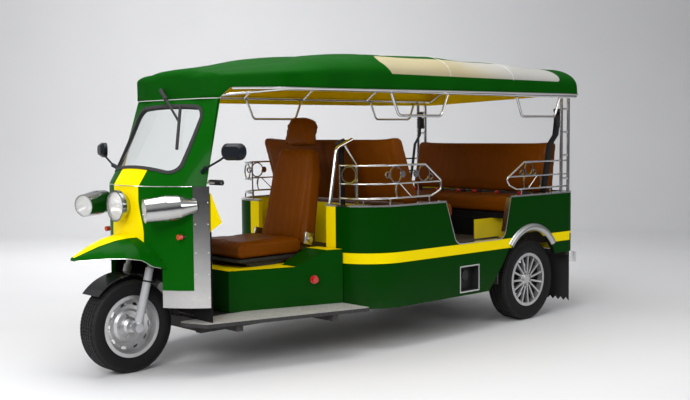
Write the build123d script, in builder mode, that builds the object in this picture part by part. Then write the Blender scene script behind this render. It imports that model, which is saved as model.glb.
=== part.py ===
"""Three-wheeled passenger rickshaw with a canvas roof, face-to-face benches and a centre driver seat.

Millimetres. +X forward, +Y left, +Z up, ground at Z = 0, origin in the middle of the length.
"""
import math
import os

from build123d import *

os.makedirs("parts", exist_ok=True)

# Overall layout
WHEELBASE = 2920
FRONT_OVERHANG = 330
REAR_OVERHANG = 610
LENGTH = FRONT_OVERHANG + WHEELBASE + REAR_OVERHANG
FRONT_AXLE_X = LENGTH / 2 - FRONT_OVERHANG
REAR_AXLE_X = FRONT_AXLE_X - WHEELBASE
FIT = 0.3              # gap left between neighbouring pieces
RUN = 0.05             # running clearance of a shaft in its bore, on the radius

# Wheels: a 155/65 R13 in front, 175/65 R14 behind
FRONT_TYRE_R, FRONT_TYRE_W, FRONT_BEAD_R = 267, 155, 165
REAR_TYRE_R, REAR_TYRE_W, REAR_BEAD_R = 290, 170, 179
REAR_TRACK = 1180
FRONT_AXLE_R, REAR_STUB_R = 10, 20
REAR_SPOKES = 15
FRONT_SLOTS = 10

# Steering
RAKE = 15              # degrees the steering axis leans back
FORK_OFFSET = 60       # legs ahead of the steering axis
FORK_LEG_Y, FORK_LEG_R = 116, 21
STEM_R, HEAD_TUBE_R = 18, 31
HEAD_LOW_Z, HEAD_HIGH_Z = 735, 880
BAR_Z, BAR_HALF, BAR_SETBACK, BAR_R, GRIP_R = 1078, 335, 165, 11, 16
GUARD_R, GUARD_T, GUARD_W = 300, 5, 172

# Front cowl: part of an upright cylinder, then a raked screen wall above the seam
COWL_R, COWL_T = 580, 22
COWL_LOW_Z, SEAM_Z, SCREEN_TOP_Z = 490, 1070, 1560
COWL_HALF_ANGLE, SHIELD_HALF_ANGLE, SCREEN_HALF_ANGLE = 46.4, 55.5, 54
SHIELD_LOW_Z = 392
SCREEN_TOP_R, SCREEN_TOP_BACK, SCREEN_TOP_HALF = 3000, 338, 412
WINDOW_W, WINDOW_H, WINDOW_CORNER, WINDOW_RAKE = 690, 446, 85, 31
SEAL_W = 20
WHEEL_GAP_HALF, WHEEL_GAP_TOP_Z = 275, 664
LINING_T, LINING_TOP_Z, LINING_RECESS, LINING_RECESS_HALF = 4, 1030, 345, 292

# Body tub of the passenger cabin
BODY_HALF, WALL = 720, 32
BODY_FRONT_X, BODY_REAR_X = 355, -1825
BODY_LOW_Z, BODY_TOP_Z, TAIL_LOW_Z = 270, 900, 464
FRONT_CORNER_R, REAR_CORNER_R, FRONT_RETURN_Y = 290, 90, BODY_HALF - 380
SILL_Z = 615
DOOR = [(-335, 1010), (-352, 900), (-455, SILL_Z), (-968, SILL_Z), (-1040, 900), (-1055, 1010)]
ARCH_X, ARCH_Z, ARCH_R, ARCH_TRIM_R, ARCH_FLARE = -1285, 360, 296, 343, 18
CAP_T, CAP_LIP = 12, 3
FLOOR_Z, FLOOR_T = 600, 15
WELL_Y, WELL_FRONT_X = 482, -940

# Benches and driver seat
BENCH_HALF = 668
CUSHION_LOW_Z, CUSHION_TOP_Z = 780, 890
MIDDLE_FRONT_X, REAR_FRONT_X = -520, -1110
SEAT_HALF, SEAT_LOW_Z, SEAT_TOP_Z, HEADREST_R = 250, 602, 702, 80
BOARD_Z, BOARD_T = 305, 22
PLINTH_LOW_Z, PLINTH_Z, PLINTH_REAR_Z = BOARD_Z + FIT, 550, 640

# Roof
ROOF_HALF, ROOF_T = 740, 6
RAIL_Z, RAIL_R = 1612, 12
RAIL_Y_OUT = ROOF_HALF - ROOF_T - RAIL_R - FIT
ROOF_STATIONS = [       # behind the front axle, half width, left edge, right edge, shoulder, crown
    (340, 300, 1562, 1562, 1690, 1732),
    (368, 428, 1562, 1562, 1676, 1739),
    (404, 480, 1618, 1575, 1682, 1746),
    (620, 690, 1617, 1572, 1690, 1784),
    (920, ROOF_HALF, 1614, 1570, 1702, 1828),
    (1420, ROOF_HALF, 1618, 1570, 1712, 1872),
    (1980, ROOF_HALF, 1622, 1570, 1716, 1884),
    (2640, ROOF_HALF, 1626, 1572, 1708, 1868),
    (3425, ROOF_HALF, 1630, 1580, 1690, 1846),
]


def fx(ahead):
    """X of a point a given distance ahead of the front axle."""
    return FRONT_AXLE_X + ahead


def rod(start, end, radius):
    """Add a round bar between two points to the part being built."""
    a, b = Vector(*start), Vector(*end)
    with Locations(Plane(origin=(a + b) * 0.5, z_dir=b - a)):
        Cylinder(radius, (b - a).length)


def block(low, high, mode=Mode.ADD):
    """Add a box given by its two opposite corners to the part being built."""
    with Locations(tuple((low[i] + high[i]) / 2 for i in range(3))):
        Box(*(high[i] - low[i] for i in range(3)), mode=mode)


def side_plane(y):
    """Plane seen from the left whose extrusion runs towards -Y."""
    return Plane(origin=(0, y, 0), x_dir=(1, 0, 0), z_dir=(0, -1, 0))


def arc_band(z, radius, front_x, half_angle, inset, depth):
    """Closed wire of a curved front wall at one height."""
    centre, h = front_x - radius, math.radians(half_angle)
    ro, ri = radius - inset, radius - inset - depth

    def at(r, turn):
        return (centre + r * math.cos(turn), r * math.sin(turn), z)

    return Wire([
        Edge.make_three_point_arc(at(ro, -h), at(ro, 0), at(ro, h)),
        Edge.make_line(at(ro, h), at(ri, h)),
        Edge.make_three_point_arc(at(ri, h), at(ri, 0), at(ri, -h)),
        Edge.make_line(at(ri, -h), at(ro, -h)),
    ])


def screen_wall(inset, depth):
    """Raked wall above the seam, measured inwards from its outer face."""
    top_angle = math.degrees(math.asin(SCREEN_TOP_HALF / SCREEN_TOP_R))
    return Solid.make_loft([
        arc_band(SEAM_Z + FIT, COWL_R, fx(0), SCREEN_HALF_ANGLE, inset, depth),
        arc_band(SCREEN_TOP_Z, SCREEN_TOP_R, fx(-SCREEN_TOP_BACK), top_angle, inset, depth),
    ], ruled=True)


def cowl_band(low, high, half_angle, inset=0, depth=COWL_T):
    """Part of the cowl's cylinder between two heights."""
    wire = arc_band(low, COWL_R, fx(0), half_angle, inset, depth)
    return Solid.extrude(Face(wire), Vector(0, 0, high - low))


def cowl_core(grow=FIT):
    """The whole cylinder behind the cowl, for trimming what seats on it."""
    with Locations((fx(-COWL_R), 0, (COWL_LOW_Z + SEAM_Z) / 2)):
        Cylinder(COWL_R + grow, SEAM_Z - COWL_LOW_Z, mode=Mode.SUBTRACT)


WINDOW_PLANE = Plane(
    origin=(fx(-192), 0, 1348), x_dir=(0, 1, 0),
    z_dir=(math.cos(math.radians(WINDOW_RAKE)), 0, math.sin(math.radians(WINDOW_RAKE))))
AXIS_UP = Vector(-math.sin(math.radians(RAKE)), 0, math.cos(math.radians(RAKE)))
AXIS_OUT = Vector(math.cos(math.radians(RAKE)), 0, math.sin(math.radians(RAKE)))
AXLE_POINT = Vector(FRONT_AXLE_X, 0, FRONT_TYRE_R)


def on_axis(z, ahead=0.0, y=0.0):
    """Point at height z on the steering axis, or a line beside it."""
    base = AXLE_POINT - AXIS_OUT * FORK_OFFSET
    p = base + AXIS_UP * ((z - base.Z) / AXIS_UP.Z)
    return p + AXIS_OUT * ahead + Vector(0, y, 0)


# Wheels
wheels = [
    ("front", FRONT_AXLE_X, 0, FRONT_TYRE_R, FRONT_TYRE_W, FRONT_BEAD_R, 57),
    ("rear_left", REAR_AXLE_X, REAR_TRACK / 2, REAR_TYRE_R, REAR_TYRE_W, REAR_BEAD_R, 66),
    ("rear_right", REAR_AXLE_X, -REAR_TRACK / 2, REAR_TYRE_R, REAR_TYRE_W, REAR_BEAD_R, 66),
]
for place, wx, wy, tyre_r, tyre_w, bead_r, bead_half in wheels:
    half, sign = tyre_w / 2, -1 if wy < 0 else 1
    with BuildPart() as tyre:
        with BuildSketch(Plane(origin=(wx, wy, tyre_r), x_dir=(1, 0, 0), z_dir=(0, 0, 1))):
            with BuildLine():
                Polyline(
                    (bead_r + FIT, -bead_half), (bead_r + 15, -bead_half), (bead_r + 42, -half),
                    (tyre_r - 34, -half + 1), (tyre_r - 10, -half + 12), (tyre_r, -half + 30),
                    (tyre_r, half - 30), (tyre_r - 10, half - 12), (tyre_r - 34, half - 1),
                    (bead_r + 42, half), (bead_r + 15, bead_half), (bead_r + FIT, bead_half),
                    close=True)
            make_face()
        revolve(axis=Axis((wx, wy, tyre_r), (0, 1, 0)))
    tyre.part.label = f"{place}_tyre"
    export_step(tyre.part, f"parts/{place}_tyre.step")

    lip = bead_half + FIT
    with BuildPart() as rim:
        with BuildSketch(Plane(origin=(wx, wy, tyre_r), x_dir=(1, 0, 0), z_dir=(0, 0, sign))):
            with BuildLine():
                Polyline(
                    (bead_r - 8, -lip - 4), (bead_r + 13, -lip - 4), (bead_r + 13, -lip), (bead_r, -lip),
                    (bead_r, lip), (bead_r + 13, lip), (bead_r + 13, lip + 4), (bead_r - 8, lip + 4),
                    close=True)
            make_face()
            if wy == 0:
                with BuildLine():
                    Polyline(
                        (FRONT_AXLE_R + RUN, -78), (34, -78), (34, 15), (86, 25), (100, 15), (126, 23),
                        (bead_r - 4, 5), (bead_r - 4, 14), (126, 32), (100, 24), (86, 34), (52, 28),
                        (48, 44), (34, 56), (FRONT_AXLE_R + RUN, 56), close=True)
                make_face()
            else:
                with BuildLine():
                    Polyline(
                        (0, 40), (REAR_STUB_R + RUN, 40), (REAR_STUB_R + RUN, -52), (112, -52), (112, -14),
                        (62, -14), (58, 48), (30, 60), (0, 60), close=True)
                make_face()
        revolve(axis=Axis((wx, wy, tyre_r), (0, 1, 0)))
        centre = Plane(origin=(wx, wy, tyre_r), x_dir=(1, 0, 0), z_dir=(0, sign, 0))
        if wy == 0:
            with BuildSketch(centre):
                with PolarLocations(128, FRONT_SLOTS):
                    SlotOverall(36, 17, rotation=90)
            extrude(amount=60, mode=Mode.SUBTRACT)
        else:
            with Locations(centre.offset(50)):
                with PolarLocations((50 + bead_r - 6) / 2, REAR_SPOKES):
                    Box(bead_r - 56, 13, 18)
    rim.part.label = f"{place}_rim"
    export_step(rim.part, f"parts/{place}_rim.step")

# Steering: fork with stem and axle, handlebar, grips, mudguard
with BuildPart() as front_fork:
    for y in (-FORK_LEG_Y, FORK_LEG_Y):
        rod(on_axis(262, FORK_OFFSET, y), on_axis(480, FORK_OFFSET, y), FORK_LEG_R)
        rod(on_axis(478, FORK_OFFSET, y), on_axis(692, FORK_OFFSET, y), FORK_LEG_R - 5)
        rod((FRONT_AXLE_X, y - 20, FRONT_TYRE_R), (FRONT_AXLE_X, y + 20, FRONT_TYRE_R), 26)
    rod((FRONT_AXLE_X, -FORK_LEG_Y, FRONT_TYRE_R), (FRONT_AXLE_X, FORK_LEG_Y, FRONT_TYRE_R), FRONT_AXLE_R)
    with Locations(Plane(origin=on_axis(690, 22), x_dir=AXIS_OUT, z_dir=AXIS_UP)):
        Box(116, 2 * FORK_LEG_Y + 44, 34)
    rod(on_axis(690), on_axis(BAR_Z - 30), STEM_R)
front_fork.part.label = "front_fork"
export_step(front_fork.part, "parts/front_fork.step")

stem_top = on_axis(BAR_Z - 30)
bar_x = on_axis(BAR_Z).X - BAR_SETBACK
with BuildPart() as handlebar:
    rod(on_axis(BAR_Z - 30 + FIT), on_axis(BAR_Z + 14), STEM_R + 6)
    with BuildLine() as bar_path:
        hub_x = on_axis(BAR_Z).X
        FilletPolyline(*[(x, y, BAR_Z) for x, y in (
            (bar_x, 8 - BAR_HALF), (bar_x, 137 - BAR_HALF), (hub_x, -110),
            (hub_x, 110), (bar_x, BAR_HALF - 137), (bar_x, BAR_HALF - 8))], radius=40)
    with BuildSketch(bar_path.line ^ 0):
        Circle(BAR_R)
    sweep()
    for s in (-1, 1):
        rod((bar_x, s * (BAR_HALF - 124), BAR_Z), (bar_x + 36, s * (BAR_HALF - 124), BAR_Z), 6)
        rod((bar_x + 33, s * (BAR_HALF - 124), BAR_Z), (bar_x + 44, s * (BAR_HALF - 15), BAR_Z), 5)
handlebar.part.label = "handlebar"
export_step(handlebar.part, "parts/handlebar.step")

with BuildPart() as handlebar_grips:
    for s in (-1, 1):
        with BuildSketch(Plane(origin=(bar_x, s * (BAR_HALF - 110), BAR_Z), z_dir=(0, s, 0))):
            Circle(GRIP_R)
            Circle(BAR_R + RUN, mode=Mode.SUBTRACT)
        extrude(amount=110)
handlebar_grips.part.label = "handlebar_grips"
export_step(handlebar_grips.part, "parts/handlebar_grips.step")

with BuildPart() as front_mudguard:
    with BuildSketch(side_plane(GUARD_W / 2)):
        with Locations((FRONT_AXLE_X, FRONT_TYRE_R)):
            Circle(GUARD_R + GUARD_T)
            Circle(GUARD_R, mode=Mode.SUBTRACT)
        with BuildLine():
            Polyline((fx(0), FRONT_TYRE_R), (fx(460), FRONT_TYRE_R + 400), (fx(0), FRONT_TYRE_R + 700),
                     (fx(-500), FRONT_TYRE_R + 400), (fx(-500), FRONT_TYRE_R + 40), close=True)
        make_face(mode=Mode.INTERSECT)
    extrude(amount=GUARD_W)
    for s in (-1, 1):
        low, high = sorted((s * (GUARD_W / 2), s * (FORK_LEG_Y - FORK_LEG_R + 5 - FIT)))
        leg = on_axis(540, FORK_OFFSET)
        block((leg.X - 14, low, 530), (leg.X + 14, high, 550))
        top = FRONT_TYRE_R + math.sqrt(GUARD_R ** 2 - (leg.X - FRONT_AXLE_X) ** 2)
        block((leg.X - 14, min(s * (GUARD_W / 2 - 6), s * (GUARD_W / 2)), 530),
              (leg.X + 14, max(s * (GUARD_W / 2 - 6), s * (GUARD_W / 2)), top + 1))
front_mudguard.part.label = "front_mudguard"
export_step(front_mudguard.part, "parts/front_mudguard.step")

# Chassis: ladder frame that kicks up over the rear axle, front hoop with the head tube, floor bearers
RAIL_Y, RAIL_W = 262, 50
with BuildPart() as chassis_frame:
    between, hoop_x = RAIL_Y - RAIL_W / 2 - FIT, fx(-LINING_RECESS) + FIT
    for s in (-1, 1):
        with BuildSketch(side_plane(s * RAIL_Y + RAIL_W / 2)):
            with BuildLine():
                Polyline(
                    (fx(-312), 215), (-800, 215), (-990, 430), (-1742, 430), (-1742, 500), (-1022, 500),
                    (-832, 285), (fx(-312), 285), close=True)
            make_face()
        extrude(amount=RAIL_W)
        block((hoop_x, s * RAIL_Y - 14, 285 + FIT), (hoop_x + 30, s * RAIL_Y + 14, 820 - FIT))
        for x, reach in ((fx(-420), 520), (fx(-1010), 680)):
            y0, y1 = sorted((s * (RAIL_Y + RAIL_W / 2 + FIT), s * reach))
            block((x - 20, y0, 243), (x + 20, y1, BOARD_Z - BOARD_T - FIT))
    for x, low in ((fx(-330), 215), (fx(-700), 215), (180, 215), (-280, 215), (-700, 215), (-1100, 430)):
        block((x - 40, -between, low), (x, between, low + 70))
    block((-1782, -690, 430), (-1742 - FIT, 690, 463))
    block((-1782, -150, 460), (-1742 - FIT, 150, FLOOR_Z - FLOOR_T - FIT))
    block((-1862, -32, 428), (-1780, 32, 440))
    with Locations((-1832, 0, 434)):
        Cylinder(13, 40, mode=Mode.SUBTRACT)
    for x, half in ((230, 600), (-300, BODY_HALF - WALL - FIT), (-680, BODY_HALF - WALL - FIT)):
        block((x - 20, -half, 530 + FIT), (x + 20, half, FLOOR_Z - FLOOR_T - FIT))
    block((hoop_x, -RAIL_Y - 14, 820), (hoop_x + 30, RAIL_Y + 14, 850))
    block((hoop_x + 28, -24, 770), (fx(-225), 24, 850))
    rod(on_axis(HEAD_LOW_Z), on_axis(HEAD_HIGH_Z), HEAD_TUBE_R)
    with Locations(Plane(origin=on_axis((HEAD_LOW_Z + HEAD_HIGH_Z) / 2), z_dir=AXIS_UP)):
        Cylinder(STEM_R + RUN, 260, mode=Mode.SUBTRACT)
chassis_frame.part.label = "chassis_frame"
export_step(chassis_frame.part, "parts/chassis_frame.step")

# Front cowl below the seam, open over the wheel
with BuildPart() as front_cowl:
    add(cowl_band(COWL_LOW_Z, SEAM_Z, COWL_HALF_ANGLE))
    block((fx(-200), -WHEEL_GAP_HALF, COWL_LOW_Z - 10), (fx(50), WHEEL_GAP_HALF, WHEEL_GAP_TOP_Z), Mode.SUBTRACT)
front_cowl.part.label = "front_cowl"
export_step(front_cowl.part, "parts/front_cowl.step")

with BuildPart() as leg_shield_trims:
    add(cowl_band(SHIELD_LOW_Z, SEAM_Z, SHIELD_HALF_ANGLE))
    add(cowl_band(COWL_LOW_Z - FIT, SEAM_Z + 1, COWL_HALF_ANGLE + 0.05, -10, 60), mode=Mode.SUBTRACT)
    block((fx(-200), -WHEEL_GAP_HALF, SHIELD_LOW_Z - 1), (fx(50), WHEEL_GAP_HALF, 800), Mode.SUBTRACT)
leg_shield_trims.part.label = "leg_shield_trims"
export_step(leg_shield_trims.part, "parts/leg_shield_trims.step")

# Inner lining: a folded sheet with a deep recess behind the wheel and the steering head
shield_x = fx(-COWL_R + (COWL_R - COWL_T) * math.cos(math.radians(SHIELD_HALF_ANGLE)))
with BuildPart() as leg_shield_lining:
    outer_y, back_x, recess_x = 470, shield_x - FIT, fx(-LINING_RECESS)
    with BuildSketch(Plane.XY.offset(BOARD_Z + FIT)):
        with BuildLine():
            Polyline(
                (back_x, -outer_y), (back_x, -LINING_RECESS_HALF - 12), (recess_x, -LINING_RECESS_HALF),
                (recess_x, LINING_RECESS_HALF), (back_x, LINING_RECESS_HALF + 12), (back_x, outer_y),
                (back_x - LINING_T, outer_y), (back_x - LINING_T, LINING_RECESS_HALF + 16),
                (recess_x - LINING_T, LINING_RECESS_HALF + 4), (recess_x - LINING_T, -LINING_RECESS_HALF - 4),
                (back_x - LINING_T, -LINING_RECESS_HALF - 16), (back_x - LINING_T, -outer_y), close=True)
        make_face()
    extrude(amount=LINING_TOP_Z - BOARD_Z - FIT)
    with BuildSketch(side_plane(outer_y)):
        with BuildLine():
            Polyline((back_x - 2, LINING_TOP_Z), (back_x - LINING_T, LINING_TOP_Z), (back_x - LINING_T - 72, 862),
                     (back_x - LINING_T, 822), (back_x - 2, 822), close=True)
        make_face()
    extrude(amount=150)
    with BuildSketch(side_plane(-outer_y + 150)):
        with BuildLine():
            Polyline((back_x - 2, LINING_TOP_Z), (back_x - LINING_T, LINING_TOP_Z), (back_x - LINING_T - 72, 862),
                     (back_x - LINING_T, 822), (back_x - 2, 822), close=True)
        make_face()
    extrude(amount=150)
leg_shield_lining.part.label = "leg_shield_lining"
export_step(leg_shield_lining.part, "parts/leg_shield_lining.step")

# Dash shelf inside the cowl with an instrument pod
with BuildPart() as dash_panel:
    with BuildSketch(Plane.XY.offset(1012)):
        with Locations((fx(-COWL_R), 0)):
            Circle(COWL_R - COWL_T - FIT)
        with Locations((fx(-235 - 1000), 0)):
            Rectangle(2000, 2000, mode=Mode.SUBTRACT)
    extrude(amount=14)
    with BuildSketch(side_plane(95)):
        with BuildLine():
            Polyline((fx(-60), 1026), (fx(-205), 1026), (fx(-150), 1120), (fx(-105), 1120), close=True)
        make_face()
    extrude(amount=190)
dash_panel.part.label = "dash_panel"
export_step(dash_panel.part, "parts/dash_panel.step")

# Raked screen wall, its rubber seal and the glass
with BuildPart() as screen_surround:
    add(screen_wall(0, COWL_T))
    with BuildSketch(WINDOW_PLANE):
        RectangleRounded(WINDOW_W, WINDOW_H, WINDOW_CORNER)
    extrude(amount=260, both=True, mode=Mode.SUBTRACT)
screen_surround.part.label = "screen_surround"
export_step(screen_surround.part, "parts/screen_surround.step")

with BuildPart() as windscreen_seal:
    with BuildSketch(WINDOW_PLANE):
        RectangleRounded(WINDOW_W - 2 * FIT, WINDOW_H - 2 * FIT, WINDOW_CORNER - FIT)
        RectangleRounded(WINDOW_W - 2 * SEAL_W, WINDOW_H - 2 * SEAL_W, WINDOW_CORNER - SEAL_W, mode=Mode.SUBTRACT)
    extrude(amount=260, both=True)
    add(screen_wall(-5, COWL_T + 8), mode=Mode.INTERSECT)
windscreen_seal.part.label = "windscreen_seal"
export_step(windscreen_seal.part, "parts/windscreen_seal.step")

with BuildPart() as windscreen:
    with BuildSketch(WINDOW_PLANE):
        inset = SEAL_W + FIT
        RectangleRounded(WINDOW_W - 2 * inset, WINDOW_H - 2 * inset, WINDOW_CORNER - inset)
    extrude(amount=260, both=True)
    add(screen_wall(8, 6), mode=Mode.INTERSECT)
windscreen.part.label = "windscreen"
export_step(windscreen.part, "parts/windscreen.step")

# Nose: a hollow beak over the wheel that runs out to a point
NOSE_SECTIONS = [       # ahead of the front axle, half width, lower edge, crown
    (-120, 318, 600, 812), (-10, 272, 627, 801), (40, 247, 664, 794), (110, 205, 676, 779), (200, 142, 678, 748),
    (FRONT_OVERHANG, 26, 668, 690),
]
with BuildPart() as nose_fender:
    for inset in (0, 5):
        for ahead, half, low, crown in NOSE_SECTIONS:
            back = 12 if ahead == FRONT_OVERHANG and inset else 0
            with BuildSketch(Plane(origin=(fx(ahead - back), 0, 0), x_dir=(0, 1, 0), z_dir=(1, 0, 0))):
                with BuildLine():
                    w, b, t = half - 1.6 * inset, low - 4 * inset, crown - inset
                    Line((-w, b), (w, b))
                    ThreePointArc((w, b), (0, t), (-w, b))
                make_face()
        loft(ruled=True, mode=Mode.SUBTRACT if inset else Mode.ADD)
    cowl_core()
nose_fender.part.label = "nose_fender"
export_step(nose_fender.part, "parts/nose_fender.step")

# Lamps: round headlamp on the cowl and two polished torpedo lamps beside it
LAMP_Z, LAMP_R = 956, 90
TORPEDO = [(1, 75, 330, 943), (-1, 75, 330, 943)]
with BuildPart() as lamp_shells:
    with BuildSketch(Plane(origin=(fx(0), 0, LAMP_Z), x_dir=(1, 0, 0), z_dir=(0, -1, 0))):
        with BuildLine():
            Polyline((-40, 0), (-40, 48), (10, 70), (34, LAMP_R), (60, LAMP_R), (60, LAMP_R - 8), (38, LAMP_R - 8),
                     (14, 60), (8, 0), close=True)
        make_face()
    revolve(axis=Axis((fx(0), 0, LAMP_Z), (1, 0, 0)))
    for s in (-1, 1):
        front = Vector(fx(75), s * 330, 943)
        tail = Vector(fx(-194), s * 432, 966)
        reach = (tail - front).length
        spin = Plane(origin=front, x_dir=tail - front, z_dir=(0, 0, 1))
        with BuildSketch(spin):
            with BuildLine():
                Polyline((0, 60), (0, 66), (24, 68), (120, 74), (190, 68), (reach, 26), (reach, 0),
                         (60, 0), (50, 30), (20, 60), close=True)
            make_face()
        revolve(axis=Axis(front, tail - front))
    cowl_core()
lamp_shells.part.label = "lamp_shells"
export_step(lamp_shells.part, "parts/lamp_shells.step")

with BuildPart() as lamp_lenses:
    with BuildSketch(Plane(origin=(fx(0), 0, LAMP_Z), x_dir=(1, 0, 0), z_dir=(0, -1, 0))):
        with BuildLine():
            edge, dome = LAMP_R - 8 - FIT, 163
            for tip in (74, 68):
                sag = [dome - math.sqrt(dome ** 2 - r ** 2) for r in (edge / 2, edge)]
                ThreePointArc((tip, 0), (tip - sag[0], edge / 2), (tip - sag[1], edge))
            Line((74 - sag[1], edge), (68 - sag[1], edge))
            Line((68, 0), (74, 0))
        make_face()
    revolve(axis=Axis((fx(0), 0, LAMP_Z), (1, 0, 0)))
    for s in (-1, 1):
        front = Vector(fx(75), s * 330, 943)
        tail = Vector(fx(-194), s * 432, 966)
        with Locations(Plane(origin=front + (tail - front).normalized() * 7, z_dir=tail - front)):
            Cylinder(60 - FIT, 6)
lamp_lenses.part.label = "lamp_lenses"
export_step(lamp_lenses.part, "parts/lamp_lenses.step")

with BuildPart() as front_indicators:
    seat_x = fx(-COWL_R + math.sqrt(COWL_R ** 2 - 385 ** 2))
    for s in (-1, 1):
        rod((seat_x - 8, s * 385, 792), (seat_x + 22, s * 385, 792), 7)
        rod((seat_x + 20, s * 385, 792), (seat_x + 44, s * 385, 792), 15)
    cowl_core()
front_indicators.part.label = "front_indicators"
export_step(front_indicators.part, "parts/front_indicators.step")

with BuildPart() as mirrors:
    for s in (-1, 1):
        head = Vector(fx(-263), s * 683, 1262)
        face = Vector(-0.94, -s * 0.34, 0)
        rod((fx(-236), s * 440, 1150), (fx(-222), s * 492, 1172), 13)
        rod((fx(-224), s * 486, 1170), (fx(-240), s * 600, 1218), 6)
        rod((fx(-240), s * 600, 1218), head - face * 18, 6)
        with BuildSketch(Plane(origin=head, x_dir=(-face.Y, face.X, 0), z_dir=face)):
            RectangleRounded(150, 92, 44)
        extrude(amount=20)
        with BuildSketch(Plane(origin=head, x_dir=(-face.Y, face.X, 0), z_dir=face * -1)):
            RectangleRounded(150, 92, 44)
        extrude(amount=22, taper=38)
    add(screen_wall(-FIT, 60), mode=Mode.SUBTRACT)
mirrors.part.label = "mirrors"
export_step(mirrors.part, "parts/mirrors.step")

with BuildPart() as wiper:
    rod((fx(-340) + FIT, -93, 1619), (fx(-316), -93, 1619), 9)
    rod((fx(-322), -93, 1619), (fx(-250), 197.4, 1429.6), 5)
    rod((fx(-296), 148, 1520.8), (fx(-176), 280.4, 1276.3), 6)
wiper.part.label = "wiper"
export_step(wiper.part, "parts/wiper.step")

# Footwell plate and running boards
with BuildPart() as driver_floor:
    block((fx(-560), -294, 285 + FIT), (fx(-LINING_RECESS - LINING_T) - FIT, 294, 298))
driver_floor.part.label = "driver_floor"
export_step(driver_floor.part, "parts/driver_floor.step")

with BuildPart() as running_boards:
    with BuildSketch(Plane.XY.offset(BOARD_Z - BOARD_T)):
        with BuildLine():
            Polyline((fx(-132), 295), (fx(-214), 492), (fx(-1204), 738), (fx(-1238), 730), (fx(-1238), 300),
                     (fx(-200), 295), close=True)
        make_face()
        fillet(vertices().sort_by(Axis.X)[-1:], 40)
    extrude(amount=BOARD_T)
    mirror(about=Plane.XZ)
running_boards.part.label = "running_boards"
export_step(running_boards.part, "parts/running_boards.step")

# Seat plinth: a wedge-shaped hollow box under the driver seat
with BuildPart() as plinth_hollow:
    with BuildSketch(Plane.XY.offset(PLINTH_LOW_Z - 5)):
        with BuildLine():
            Polyline((fx(-544), -256), (fx(-544), 256), (fx(-1226), 478), (fx(-1226), -478), close=True)
        make_face()
    extrude(amount=400)
    with BuildSketch(side_plane(600)):
        with BuildLine():
            Polyline((fx(-500), PLINTH_Z - 14), (fx(-936), PLINTH_Z - 14), (fx(-1136), PLINTH_REAR_Z - 14),
                     (fx(-1300), PLINTH_REAR_Z - 14), (fx(-1300), 800), (fx(-500), 800), close=True)
        make_face()
    extrude(amount=1200, mode=Mode.SUBTRACT)
    block((fx(-1300), -SEAT_HALF - 28, PLINTH_Z - 14), (fx(-500), SEAT_HALF + 28, 800), Mode.SUBTRACT)
with BuildPart() as seat_plinth:
    with BuildSketch(Plane.XY.offset(PLINTH_LOW_Z)):
        with BuildLine():
            Polyline((fx(-530), -270), (fx(-530), 270), (fx(-1240), 495), (fx(-1240), -495), close=True)
        make_face()
    extrude(amount=400)
    with BuildSketch(side_plane(600)):
        with BuildLine():
            Polyline((fx(-500), PLINTH_Z), (fx(-940), PLINTH_Z), (fx(-1140), PLINTH_REAR_Z),
                     (fx(-1300), PLINTH_REAR_Z), (fx(-1300), 800), (fx(-500), 800), close=True)
        make_face()
    extrude(amount=1200, mode=Mode.SUBTRACT)
    block((fx(-1300), -SEAT_HALF - 14, PLINTH_Z), (fx(-500), SEAT_HALF + 14, 800), Mode.SUBTRACT)
    add(plinth_hollow.part, mode=Mode.SUBTRACT)
seat_plinth.part.label = "seat_plinth"
export_step(seat_plinth.part, "parts/seat_plinth.step")

with BuildPart() as driver_seat_frame:
    with BuildSketch(side_plane(215)):
        with BuildLine():
            Polyline((fx(-740), PLINTH_Z + FIT), (fx(-680), 584), (fx(-1060), 584), (fx(-930), PLINTH_Z + FIT),
                     close=True)
        make_face()
    extrude(amount=430)
    block((fx(-1180), -232, 584), (fx(-640), 232, SEAT_LOW_Z - FIT))
driver_seat_frame.part.label = "driver_seat_frame"
export_step(driver_seat_frame.part, "parts/driver_seat_frame.step")

with BuildPart() as driver_seat_cushion:
    block((fx(-1156.4), -SEAT_HALF, SEAT_LOW_Z), (fx(-615), SEAT_HALF, SEAT_TOP_Z))
    fillet(driver_seat_cushion.edges().filter_by(Axis.Y), 38)
    fillet(driver_seat_cushion.faces().sort_by(Axis.Y)[0].edges() +
           driver_seat_cushion.faces().sort_by(Axis.Y)[-1].edges(), 20)
driver_seat_cushion.part.label = "driver_seat_cushion"
export_step(driver_seat_cushion.part, "parts/driver_seat_cushion.step")

BACK_LEAN = 11
back_plane = Plane(origin=(fx(-1196), 0, 640), x_dir=(0, 1, 0),
                   z_dir=(math.cos(math.radians(BACK_LEAN)), 0, math.sin(math.radians(BACK_LEAN))))
with BuildPart() as driver_seat_back:
    with BuildSketch(back_plane.offset(-60)):
        with BuildLine():
            Polyline((-SEAT_HALF, -20), (SEAT_HALF, -20), (SEAT_HALF, 470), (200, 648), (-200, 648),
                     (-SEAT_HALF, 470), close=True)
        make_face()
        fillet(vertices(), 45)
    extrude(amount=100)
    fillet(driver_seat_back.faces().sort_by(Axis.X)[-1].edges(), 22)
driver_seat_back.part.label = "driver_seat_back"
export_step(driver_seat_back.part, "parts/driver_seat_back.step")

with BuildPart() as driver_headrest:
    with BuildSketch(back_plane.offset(-50)):
        with BuildLine():
            Polyline((-128, 648 + FIT), (128, 648 + FIT), (122, 838), (-122, 838), close=True)
        make_face()
        fillet(vertices().sort_by(Axis.Y)[-2:], HEADREST_R)
    extrude(amount=86)
driver_headrest.part.label = "driver_headrest"
export_step(driver_headrest.part, "parts/driver_headrest.step")

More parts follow.
